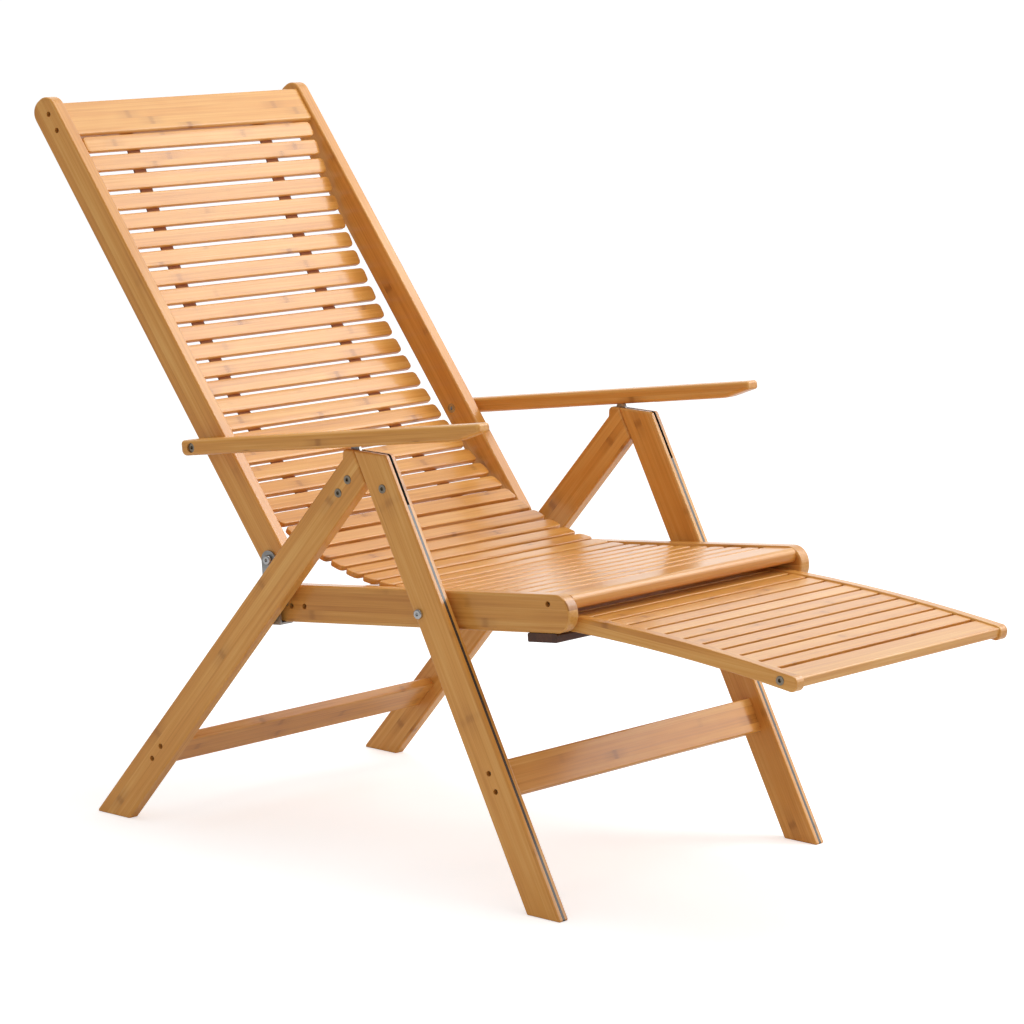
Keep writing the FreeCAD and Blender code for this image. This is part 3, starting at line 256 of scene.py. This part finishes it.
def bamboo(name, lean=0.0, crossways=False, follow=False, seed=0.0, strip=0.013, strip_depth=0.02,
           knuckles=0.31, lift=1.0, kerf_shade=False, tones=TONES):
    # lean turns the grain to the board's length; crossways boards run from side to side;
    # follow reads the slats' own coordinates; kerf_shade paints shade on the walls of the legs' sawn slot
    material = bpy.data.materials.new(name)
    material.use_nodes = True
    tree = material.node_tree
    shader = tree.nodes["Principled BSDF"]
    if follow:
        point = add(tree, "ShaderNodeAttribute", attribute_name="board").outputs["Vector"]
        number = add(tree, "ShaderNodeAttribute", attribute_name="board_seed").outputs["Fac"]
        shifted = add(tree, "ShaderNodeCombineXYZ", {0: calc(tree, "MULTIPLY", number, 0.37)}).outputs[0]
        point = vector_calc(tree, "ADD", point, shifted)
    else:
        place = add(tree, "ShaderNodeTexCoord").outputs["Object"]
        turn = add(tree, "ShaderNodeVectorRotate", {"Vector": place, "Angle": -math.radians(lean)},
                   rotation_type="X_AXIS").outputs[0]
        parts = add(tree, "ShaderNodeSeparateXYZ", {0: turn}).outputs
        side = add(tree, "ShaderNodeMath", {0: parts[0]}, operation="SIGN").outputs[0]
        if crossways:
            order = (parts[0], parts[1], parts[2])
            number = seed
        else:
            order = (parts[1], parts[2], parts[0])
            number = calc(tree, "ADD", calc(tree, "MULTIPLY", side, 3.7), seed)
        point = add(tree, "ShaderNodeCombineXYZ", {i: v for i, v in enumerate(order)}).outputs[0]
    grain = add(tree, "ShaderNodeGroup", node_tree=BAMBOO)
    tree.links.new(point, grain.inputs["Point"])
    if isinstance(number, bpy.types.NodeSocket):
        tree.links.new(number, grain.inputs["Seed"])
    else:
        grain.inputs["Seed"].default_value = number
    grain.inputs["Strip width"].default_value = strip
    grain.inputs["Strip depth"].default_value = strip_depth
    grain.inputs["Knuckle spacing"].default_value = knuckles
    for socket, colour in tones.items():
        grain.inputs[socket].default_value = tint(*(min(255, value * lift) for value in colour))
    colour = grain.outputs["Colour"]
    # Painted shade: the slot walls are darkened, standing in for the shade inside the narrow slot
    if kerf_shade:
        aside = calc(tree, "ABSOLUTE", calc(tree, "SUBTRACT", calc(tree, "ABSOLUTE", parts[0]), LEG_MIDDLE))
        inside = calc(tree, "LESS_THAN", aside, KERF_HALF_WIDTH + KERF_SKIN)
        colour = blend_colours(tree, inside, colour, tint(*KERF_PAINTED_SHADE))
    tree.links.new(colour, shader.inputs["Base Color"])
    tree.links.new(grain.outputs["Roughness"], shader.inputs["Roughness"])
    bump = add(tree, "ShaderNodeBump",
               {"Height": grain.outputs["Relief"], "Strength": 0.22, "Distance": 0.0004})
    tree.links.new(bump.outputs[0], shader.inputs["Normal"])
    shader.inputs["Specular IOR Level"].default_value = 0.22
    shader.inputs["Coat Weight"].default_value = 0.45
    shader.inputs["Coat Roughness"].default_value = 0.15
    shader.inputs["Coat IOR"].default_value = 1.5
    return material


def webbing():
    material = bpy.data.materials.new("brown webbing")
    material.use_nodes = True
    tree = material.node_tree
    shader = tree.nodes["Principled BSDF"]
    point = add(tree, "ShaderNodeAttribute", attribute_name="board").outputs["Vector"]
    parts = add(tree, "ShaderNodeSeparateXYZ", {0: point}).outputs
    rib = calc(tree, "SINE", calc(tree, "MULTIPLY", parts[1], 2 * math.pi / 0.0016))
    twill = calc(tree, "ADD", calc(tree, "MULTIPLY", parts[1], 2 * math.pi / 0.0016),
                 calc(tree, "MULTIPLY", parts[0], 2 * math.pi / 0.0022))
    yarn = calc(tree, "SINE", twill)
    height = calc(tree, "ADD", calc(tree, "MULTIPLY", rib, 0.5), calc(tree, "MULTIPLY", yarn, 0.5))
    fluff = noise(tree, point, 900.0, 2.0)
    shade = calc(tree, "ADD", spread(tree, height, -1.0, 1.0, 0.1, 0.8),
                 calc(tree, "MULTIPLY", calc(tree, "SUBTRACT", fluff, 0.5), 0.5))
    colour = blend_colours(tree, shade, tint(150, 82, 50), tint(226, 154, 108))
    # Painted shade: both long edges of the strap are darkened, standing in for the shade on its sides between
    # the slats
    rim_shade = spread(tree, calc(tree, "ABSOLUTE", parts[0]), STRAP_WIDTH / 2 - STRAP_SHADE_RIM, STRAP_WIDTH / 2,
                 smooth=True)
    colour = blend_colours(tree, calc(tree, "MULTIPLY", rim_shade, 0.75), colour, tint(104, 48, 28))
    tree.links.new(colour, shader.inputs["Base Color"])
    shader.inputs["Roughness"].default_value = 0.8
    shader.inputs["Sheen Weight"].default_value = 0.25
    bump = add(tree, "ShaderNodeBump", {"Height": height, "Strength": 0.5, "Distance": 0.0004})
    tree.links.new(bump.outputs[0], shader.inputs["Normal"])
    return material


def steel(name, colour, rough_low, rough_high, brushed=True):
    material = bpy.data.materials.new(name)
    material.use_nodes = True
    tree = material.node_tree
    shader = tree.nodes["Principled BSDF"]
    place = add(tree, "ShaderNodeTexCoord").outputs["Object"]
    stretch = add(tree, "ShaderNodeMapping", {"Vector": place, "Scale": (900.0, 60.0, 900.0)}).outputs[0]
    marks = noise(tree, stretch if brushed else place, 1.0 if brushed else 260.0, 3.0)
    tree.links.new(spread(tree, marks, 0.25, 0.75, rough_low, rough_high), shader.inputs["Roughness"])
    dull = noise(tree, place, 90.0, 3.0)
    darker = tuple(value * 0.72 for value in colour)
    tree.links.new(blend_colours(tree, dull, tint(*darker), tint(*colour)), shader.inputs["Base Color"])
    shader.inputs["Metallic"].default_value = 1.0
    bump = add(tree, "ShaderNodeBump", {"Height": marks, "Strength": 0.08, "Distance": 0.0003})
    tree.links.new(bump.outputs[0], shader.inputs["Normal"])
    return material


FINISH = {
    "front_leg": bamboo("leg bamboo front", LEAN["front_leg"], seed=1.3, kerf_shade=True),
    "rear_leg": bamboo("leg bamboo rear", LEAN["rear_leg"], seed=2.6),
    "front_cross_rail": bamboo("cross rail bamboo front", LEAN["front_leg"], crossways=True, seed=5.1),
    "rear_cross_rail": bamboo("cross rail bamboo rear", LEAN["rear_leg"], crossways=True, seed=8.4),
    "seat_rail": bamboo("seat rail bamboo", LEAN["seat_rail"], seed=3.2, lift=0.97),
    "seat_board": bamboo("seat board bamboo", LEAN["seat_rail"], crossways=True, seed=6.7),
    "dark_board": bamboo("support board bamboo", LEAN["seat_rail"], crossways=True, seed=7.1,
                         tones=DARK_TONES),
    "back_rail": bamboo("back rail bamboo", LEAN["back_rail"], seed=4.9),
    "crest_rail": bamboo("crest bamboo", LEAN["back_rail"], crossways=True, seed=9.3),
    "arm": bamboo("arm bamboo", LEAN["arm"], seed=7.7, strip=0.0095),
    "footrest_rail": bamboo("footrest rail bamboo", LEAN["footrest_rail"], seed=2.2),
    "footrest_board": bamboo("footrest board bamboo", LEAN["footrest_rail"], crossways=True, seed=11.5),
    "slat": bamboo("slat bamboo", follow=True, strip=0.012, knuckles=0.27, lift=1.01),
    "webbing": webbing(),
    "plate": steel("zinc plate", (190, 190, 188), 0.32, 0.5),
    "bolt": steel("bright bolt", (222, 222, 222), 0.14, 0.26, brushed=False),
    "cap": steel("socket screw", (176, 164, 146), 0.28, 0.42, brushed=False),
    # Painted shade: the sunk screws' metal is made far darker than bare steel, standing in for the shade in
    # their deep recesses
    "sunk": steel("sunk screw with painted shade", (84, 76, 68), 0.4, 0.6, brushed=False),
}

NODE_FINISH = {
    "front_leg_left": "front_leg", "front_leg_right": "front_leg",
    "rear_leg_left": "rear_leg", "rear_leg_right": "rear_leg",
    "front_cross_rail": "front_cross_rail", "rear_cross_rail": "rear_cross_rail",
    "seat_rail_left": "seat_rail", "seat_rail_right": "seat_rail",
    "seat_front_rail": "seat_board", "seat_cross_rail": "seat_board", "footrest_support_board": "dark_board",
    "back_rail_left": "back_rail", "back_rail_right": "back_rail", "crest_rail": "crest_rail",
    "arm_left": "arm", "arm_right": "arm",
    "footrest_rail_left": "footrest_rail", "footrest_rail_right": "footrest_rail",
    "footrest_end_board": "footrest_board", "footrest_rear_bar": "footrest_board",
    "apex_plate_left": "plate", "apex_plate_right": "plate", "hinge_plate_left": "plate",
    "hinge_plate_right": "plate", "seat_rest_brackets": "plate", "seat_bolt_spacers": "plate",
    "arm_spacer_left": "plate", "arm_spacer_right": "plate",
    "front_cross_rail_screws": "sunk", "rear_cross_rail_screws": "sunk", "seat_frame_screws": "sunk",
    "support_board_screws": "sunk", "crest_rail_screws": "sunk",
    "apex_pivot_screws": "cap", "apex_plate_screws": "cap", "footrest_screws": "cap",
    "arm_bolt_left": "cap", "arm_bolt_right": "cap",
}
MADE_HERE = ("seat_slats", "turn_slats", "back_slats", "seat_straps", "turn_straps", "back_straps",
             "footrest_slats")

for node_name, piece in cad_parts.items():
    if node_name in MADE_HERE:
        continue
    finish = FINISH[NODE_FINISH.get(node_name, "bolt")]
    for place in piece.material_slots:
        place.link = "OBJECT"
        place.material = finish


# The sling's line: straight over the seat, a hanging curve up the back, and straight into the crest rail


def sling_point(length):
    # Place and direction of the slats' top face, at a length from the lowest point
    place, run = hanging_point(min(length, SLING_STRAIGHT_FROM))
    if length > SLING_STRAIGHT_FROM:
        run = Vector((0.0, math.cos(SLING_TOP_LEAN), math.sin(SLING_TOP_LEAN)))
        place = place + run * (length - SLING_STRAIGHT_FROM)
    return place, run


def hanging_point(length):
    turn = -SLING_CURVE * math.tan(SLING_PITCH_BACK)
    base = max(length, turn)
    y = SLING_LOW_Y + SLING_CURVE * math.asinh(base / SLING_CURVE)
    z = sling_low_z() + SLING_CURVE * (math.sqrt(1 + (base / SLING_CURVE) ** 2) - 1)
    slope = math.atan2(base, SLING_CURVE)
    run = Vector((0.0, math.cos(slope), math.sin(slope)))
    return Vector((0.0, y, z)) + run * (length - base), run


def sling_low_z():
    # The straight part lies a little below the seat rails' top faces
    turn = SLING_CURVE * math.tan(SLING_PITCH_BACK)
    y = SLING_LOW_Y - SLING_CURVE * math.asinh(turn / SLING_CURVE)
    rail_top = SEAT_SURFACE[1] + (SEAT_SURFACE[0] - y) * math.tan(SLING_PITCH_BACK)
    return rail_top - SLING_CURVE * (math.sqrt(1 + (turn / SLING_CURVE) ** 2) - 1)


def footrest_point(length):
    # Place and direction of the footrest slats' top face, at a length along the curve from the first slat
    radius = FOOTREST_RADIUS - FOOTREST_SLAT_DROP
    first = math.asin((FOOTREST_FIRST_SLAT - FOOTREST_CREST.y) / FOOTREST_RADIUS)
    angle = first + length / FOOTREST_RADIUS
    centre = FOOTREST_CREST - Vector((0.0, 0.0, FOOTREST_RADIUS))
    place = centre + Vector((0.0, radius * math.sin(angle), radius * math.cos(angle)))
    return place, Vector((0.0, math.cos(angle), -math.sin(angle)))


def slat_length(number):
    # Middle of a slat, counted from the top of the back
    return SLING_TOP - SLAT_PITCH * (number - 1) + SLAT_WIDTH / 2


# Boards and paths for the node trees


def rounded_board(name, half_length, width, thick, corner, ease):
    # A board with its top face at z = 0, rounded corners and eased edges, and its own coordinates kept
    shape = bmesh.new()
    steps = 4
    profile = [(ease * (1 - math.sin(math.radians(a))), -thick + ease * (1 - math.cos(math.radians(a))))
               for a in (0, 30, 60, 90)]
    profile += [(ease * (1 - math.cos(math.radians(a))), -ease * (1 - math.sin(math.radians(a))))
                for a in (0, 30, 60, 90)]
    profile.append((corner * 0.8, 0.0))
    rings = []
    for inset, height in profile:
        ring = []
        for quarter in range(4):
            sign_x = (1, -1, -1, 1)[quarter]
            sign_y = (1, 1, -1, -1)[quarter]
            radius = max(corner - inset, 0.0002)
            for k in range(steps + 1):
                angle = math.radians(90 * quarter + 90 * k / steps)
                x = sign_x * (half_length - max(corner, inset)) + radius * math.cos(angle)
                y = sign_y * (width / 2 - max(corner, inset)) + radius * math.sin(angle)
                ring.append(shape.verts.new((x, y, height)))
        rings.append(ring)
    for lower, upper in zip(rings, rings[1:]):
        for k in range(len(lower)):
            following = (k + 1) % len(lower)
            shape.faces.new((lower[k], lower[following], upper[following], upper[k]))
    shape.faces.new(list(reversed(rings[0])))
    shape.faces.new(rings[-1])
    mesh = bpy.data.meshes.new(name)
    shape.to_mesh(mesh)
    shape.free()
    own = mesh.attributes.new("board", "FLOAT_VECTOR", "POINT")
    own.data.foreach_set("vector", [value for vertex in mesh.vertices for value in vertex.co])
    return bpy.data.objects.new(name, mesh)


def path_object(name, point_at, low, high, step):
    count = max(2, round((high - low) / step)) + 1
    curve = bpy.data.curves.new(name, "CURVE")
    curve.dimensions = "3D"
    spline = curve.splines.new("POLY")
    spline.points.add(count - 1)
    for k in range(count):
        place, run = point_at(low + (high - low) * k / (count - 1))
        spline.points[k].co = (place.x, place.y, place.z, 1.0)
    return bpy.data.objects.new(name, curve)


def slat_row_tree():
    # Boards set out along a path: each turned to the path's slope, with its own number for the grain
    tree = bpy.data.node_groups.new("slats along a path", "GeometryNodeTree")
    for name, kind in (("Geometry", "NodeSocketGeometry"), ("Path", "NodeSocketObject"),
                       ("Board", "NodeSocketObject"), ("Count", "NodeSocketInt"),
                       ("First", "NodeSocketFloat"), ("Pitch", "NodeSocketFloat"),
                       ("Seed", "NodeSocketInt"), ("Wander", "NodeSocketFloat"),
                       ("Finish", "NodeSocketMaterial")):
        tree.interface.new_socket(name, in_out="INPUT", socket_type=kind)
    tree.interface.new_socket("Geometry", in_out="OUTPUT", socket_type="NodeSocketGeometry")
    given = add(tree, "NodeGroupInput").outputs
    number = add(tree, "GeometryNodeInputIndex").outputs[0]
    path = add(tree, "GeometryNodeObjectInfo", {"Object": given["Path"]}).outputs["Geometry"]
    board = add(tree, "GeometryNodeObjectInfo", {"Object": given["Board"]}).outputs["Geometry"]
    length = calc(tree, "ADD", calc(tree, "MULTIPLY", number, given["Pitch"]), given["First"])
    sample = add(tree, "GeometryNodeSampleCurve", mode="LENGTH", data_type="FLOAT")
    tree.links.new(path, sample.inputs["Curves"])
    tree.links.new(length, sample.inputs["Length"])
    points = add(tree, "GeometryNodePoints", {"Count": given["Count"]}).outputs[0]
    wander = add(tree, "FunctionNodeRandomValue", data_type="FLOAT")
    wander.inputs[2].default_value = -1.0
    wander.inputs[3].default_value = 1.0
    tree.links.new(given["Seed"], wander.inputs["Seed"])
    aside = add(tree, "ShaderNodeCombineXYZ",
                {0: calc(tree, "MULTIPLY", wander.outputs[1], given["Wander"])}).outputs[0]
    placed = add(tree, "GeometryNodeSetPosition",
                 {"Geometry": points, "Position": sample.outputs["Position"], "Offset": aside}).outputs[0]
    slope = add(tree, "ShaderNodeSeparateXYZ", {0: sample.outputs["Tangent"]}).outputs
    lean = add(tree, "ShaderNodeCombineXYZ", {0: calc(tree, "ARCTAN2", slope[2], slope[1])}).outputs[0]
    turn = add(tree, "FunctionNodeEulerToRotation", {0: lean}).outputs[0]
    row = add(tree, "GeometryNodeInstanceOnPoints",
              {"Points": placed, "Instance": board, "Rotation": turn}).outputs[0]
    grain = add(tree, "FunctionNodeRandomValue", data_type="FLOAT")
    grain.inputs[3].default_value = 40.0
    tree.links.new(calc(tree, "ADD", given["Seed"], 17.0), grain.inputs["Seed"])
    numbered = add(tree, "GeometryNodeStoreNamedAttribute", {"Geometry": row, "Name": "board_seed"},
                   data_type="FLOAT", domain="INSTANCE")
    tree.links.new(grain.outputs[1], numbered.inputs["Value"])
    real = add(tree, "GeometryNodeRealizeInstances", {"Geometry": numbered.outputs[0]}).outputs[0]
    dressed = add(tree, "GeometryNodeSetMaterial", {"Geometry": real, "Material": given["Finish"]}).outputs[0]
    add(tree, "NodeGroupOutput", {"Geometry": dressed})
    return tree


def as_mesh_object(name, source):
    # The evaluated shape as a plain mesh object at the origin
    bpy.context.view_layer.update()
    seen = source.evaluated_get(bpy.context.evaluated_depsgraph_get())
    mesh = bpy.data.meshes.new_from_object(seen)
    mesh.name = name
    bpy.data.objects.remove(source)
    piece = bpy.data.objects.new(name, mesh)
    bpy.context.scene.collection.objects.link(piece)
    mesh.shade_smooth()
    mesh.set_sharp_from_angle(angle=math.radians(32))
    return piece


SLAT_ROWS = slat_row_tree()


def slat_row(name, path, board, count, first, pitch, seed, wander):
    host = bpy.data.objects.new(name + " maker", bpy.data.meshes.new(name + " maker"))
    bpy.context.scene.collection.objects.link(host)
    maker = host.modifiers.new("slats", "NODES")
    maker.node_group = SLAT_ROWS
    values = {"Path": path, "Board": board, "Count": count, "First": first, "Pitch": pitch, "Seed": seed,
              "Wander": wander, "Finish": FINISH["slat"]}
    for item in SLAT_ROWS.interface.items_tree:
        if item.in_out == "INPUT" and item.name in values:
            maker[item.identifier] = values[item.name]
    return as_mesh_object(name, host)


SLAT = rounded_board("sling slat", SLAT_HALF_LENGTH, SLAT_WIDTH, SLAT_THICK, SLAT_CORNER, SLAT_EASE)
FOOT_SLAT = rounded_board("footrest slat", FOOTREST_HALF_WIDTH, FOOTREST_SLAT_WIDTH, FOOTREST_SLAT_THICK,
                          0.0012, 0.001)
SLING_LOW = slat_length(SEAT_LAST) - PATH_SPARE
SLING_PATH = path_object("sling path", sling_point, SLING_LOW, SLING_TOP + 0.08, SLING_PATH_STEP)
FOOTREST_PATH = path_object("footrest path", footrest_point, -0.02, 0.42, 0.01)


def sling_slats(name, first_number, last_number, seed):
    # Numbers count from the top of the back; the path runs up from the seat
    count = last_number - first_number + 1
    first = slat_length(last_number) - SLING_LOW
    return slat_row(name, SLING_PATH, SLAT, count, first, SLAT_PITCH, seed, SLAT_WANDER)


def sling_straps(name, low, high):
    # Two flat bands under the slats
    shape = bmesh.new()
    own = shape.verts.layers.float_vector.new("board")
    half = STRAP_WIDTH / 2
    section = [(-half, 0.0003), (-half + 0.0006, 0.0), (-half / 2, 0.0), (0.0, 0.0), (half / 2, 0.0),
               (half - 0.0006, 0.0), (half, 0.0003), (half, STRAP_THICK - 0.0003),
               (half - 0.0006, STRAP_THICK), (0.0, STRAP_THICK), (-half + 0.0006, STRAP_THICK),
               (-half, STRAP_THICK - 0.0003)]
    count = max(2, round((high - low) / STRAP_STEP)) + 1
    for middle in (-STRAP_CENTRE, STRAP_CENTRE):
        rings = []
        for k in range(count):
            length = low + (high - low) * k / (count - 1)
            place, run = sling_point(length)
            up = Vector((0.0, -run.z, run.y))
            ring = []
            for across, down in section:
                vertex = shape.verts.new(place - up * (SLAT_THICK + STRAP_GAP + down)
                                         + Vector((middle + across, 0.0, 0.0)))
                vertex[own] = (across, length, down)
                ring.append(vertex)
            rings.append(ring)
        for lower, upper in zip(rings, rings[1:]):
            for k in range(len(section)):
                following = (k + 1) % len(section)
                shape.faces.new((lower[k], lower[following], upper[following], upper[k]))
        shape.faces.new(list(reversed(rings[0])))
        shape.faces.new(rings[-1])
    bmesh.ops.recalc_face_normals(shape, faces=shape.faces)
    mesh = bpy.data.meshes.new(name)
    shape.to_mesh(mesh)
    shape.free()
    mesh.materials.append(FINISH["webbing"])
    piece = bpy.data.objects.new(name, mesh)
    bpy.context.scene.collection.objects.link(piece)
    return piece


def gap_above(number):
    return slat_length(number) + SLAT_WIDTH / 2 + HALF_GAP


back_slats = sling_slats("back_slats_bamboo", 1, BACK_SLATS, 3)
upper_bend_slats = sling_slats("upper_bend_slats_bamboo", BEND_FIRST, BEND_MIDDLE - 1, 8)
lower_bend_slats = sling_slats("lower_bend_slats_bamboo", BEND_MIDDLE, SEAT_FIRST - 1, 12)
seat_slats = sling_slats("seat_slats_bamboo", SEAT_FIRST, SEAT_LAST, 21)
footrest_slats = slat_row("footrest_slats_bamboo", FOOTREST_PATH, FOOT_SLAT, FOOTREST_SLATS,
                          0.02 + FOOTREST_SLAT_WIDTH / 2, FOOTREST_PITCH, 30, 0.0)
back_straps = sling_straps("back_straps_webbing", gap_above(BEND_FIRST),
                           gap_above(1) + HALF_GAP + STRAP_INTO_CREST)
upper_bend_straps = sling_straps("upper_bend_straps_webbing", gap_above(BEND_MIDDLE), gap_above(BEND_FIRST))
lower_bend_straps = sling_straps("lower_bend_straps_webbing", gap_above(SEAT_FIRST), gap_above(BEND_MIDDLE))
seat_straps = sling_straps("seat_straps_webbing", slat_length(SEAT_LAST) - SLAT_WIDTH / 2,
                           gap_above(SEAT_FIRST))

for helper in (SLAT, FOOT_SLAT, SLING_PATH, FOOTREST_PATH):
    bpy.data.objects.remove(helper)

for piece in (lower_bend_slats, lower_bend_straps):
    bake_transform(piece)
for piece in (upper_bend_slats, upper_bend_straps):
    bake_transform(piece)
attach(back_slats, "back")
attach(back_straps, "back")
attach(seat_slats, "seat")
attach(seat_straps, "seat")
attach(footrest_slats, "footrest")
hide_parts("back_slats")
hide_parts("back_straps")
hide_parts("seat_slats")
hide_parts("seat_straps")
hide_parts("footrest_slats")
for piece in (upper_bend_slats, lower_bend_slats):
    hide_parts("turn_slats")
for piece in (upper_bend_straps, lower_bend_straps):
    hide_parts("turn_straps")


# Camera


CAMERA_YAW = -50.81
CAMERA_RISE = 9.94
CAMERA_ROLL = 1.53
CAMERA_PLACE = (-4.5738, -3.7799 + LAYOUT_SHIFT, 1.5017)
CAMERA_LENS = 150.75


def camera():
    yaw, rise, roll = math.radians(CAMERA_YAW), math.radians(CAMERA_RISE), math.radians(CAMERA_ROLL)
    back = Vector((math.sin(yaw) * math.cos(rise), -math.cos(yaw) * math.cos(rise), math.sin(rise)))
    right = Vector((math.cos(yaw), math.sin(yaw), 0.0))
    up = back.cross(right)
    turned_right = right * math.cos(roll) + up * math.sin(roll)
    turned_up = up * math.cos(roll) - right * math.sin(roll)
    view = bpy.data.cameras.new("camera")
    view.sensor_width = 36.0
    view.lens = CAMERA_LENS
    view.clip_end = 100.0
    holder = bpy.data.objects.new("camera", view)
    bpy.context.scene.collection.objects.link(holder)
    turn = Matrix((turned_right, turned_up, back)).transposed()
    holder.matrix_world = Matrix.Translation(CAMERA_PLACE) @ turn.to_4x4()
    bpy.context.scene.camera = holder


# Light, world and floor


def soft_light(name, direction, distance, size, level, roll=0.0):
    # level is how much of white a face turned to the light takes from it
    aim = Vector((0.0, 0.0, 0.5))
    way = Vector(direction).normalized()
    lamp = bpy.data.lights.new(name, "AREA")
    lamp.shape = "RECTANGLE"
    lamp.size, lamp.size_y = size
    lamp.energy = math.pi ** 2 * distance ** 2 * level
    holder = bpy.data.objects.new(name, lamp)
    holder.location = aim + way * distance
    holder.rotation_euler = (way.to_track_quat("Z", "Y") @ Quaternion((0.0, 0.0, 1.0), roll)).to_euler()
    bpy.context.scene.collection.objects.link(holder)


# What the lacquer mirrors: a room that is dim on the near side, pale on the far side, with one bright panel
GLARE_WAY = (0.765, -0.44, 0.45)
MIRRORED_NEAR = 0.3
MIRRORED_FAR = 1.35
MIRRORED_PANEL = 3.4
PANEL_EDGE = 0.86
PANEL_CORE = 0.96


def white_world(level):
    world = bpy.data.worlds.new("white studio")
    bpy.context.scene.world = world
    world.use_nodes = True
    tree = world.node_tree
    tree.nodes.clear()
    rays = add(tree, "ShaderNodeLightPath").outputs
    way = add(tree, "ShaderNodeTexCoord").outputs["Generated"]
    facing = add(tree, "ShaderNodeVectorMath", {0: way, 1: Vector(GLARE_WAY).normalized()},
                 operation="DOT_PRODUCT")
    aside = add(tree, "ShaderNodeSeparateXYZ", {0: way}).outputs[0]
    room = spread(tree, aside, -0.2, 0.6, MIRRORED_NEAR, MIRRORED_FAR, smooth=True)
    bright = spread(tree, facing.outputs["Value"], PANEL_EDGE, PANEL_CORE,
                    0.0, MIRRORED_PANEL - MIRRORED_FAR, smooth=True)
    panel = calc(tree, "ADD", room, bright)
    strength = spread(tree, rays["Is Camera Ray"], 0.0, 1.0, level, 1.0)
    seen = add(tree, "ShaderNodeMix", {0: rays["Is Glossy Ray"], 2: strength, 3: panel}, data_type="FLOAT")
    strength = seen.outputs[0]
    sky = add(tree, "ShaderNodeBackground", {"Color": (1.0, 1.0, 1.0, 1.0), "Strength": strength})
    add(tree, "ShaderNodeOutputWorld", {"Surface": sky.outputs[0]})


FLOOR_GLOW = 0.52


def pale_floor():
    mesh = bpy.data.meshes.new("floor")
    reach = 30.0
    mesh.from_pydata([(-reach, -reach, 0.0), (reach, -reach, 0.0), (reach, reach, 0.0), (-reach, reach, 0.0)],
                     [], [(0, 1, 2, 3)])
    floor = bpy.data.objects.new("floor", mesh)
    bpy.context.scene.collection.objects.link(floor)
    material = bpy.data.materials.new("pale floor")
    material.use_nodes = True
    tree = material.node_tree
    tree.nodes.clear()
    rays = add(tree, "ShaderNodeLightPath").outputs
    matt = add(tree, "ShaderNodeBsdfDiffuse", {"Color": (0.9, 0.9, 0.9, 1.0)})
    seen = calc(tree, "MULTIPLY", rays["Is Camera Ray"], FLOOR_GLOW)
    glow = add(tree, "ShaderNodeEmission", {"Color": (1.0, 1.0, 1.0, 1.0), "Strength": seen})
    both = add(tree, "ShaderNodeAddShader", {0: matt.outputs[0], 1: glow.outputs[0]})
    add(tree, "ShaderNodeOutputMaterial", {"Surface": both.outputs[0]})
    mesh.materials.append(material)


camera()
white_world(0.58)
soft_light("window", (1.72, -0.89, 1.35), 2.36, (1.7, 0.6), 0.25, roll=math.radians(39))
soft_light("overhead", (0.20, -0.10, 0.97), 4.0, (2.6, 2.6), 0.36)
pale_floor()
bpy.context.scene.view_settings.view_transform = "Standard"
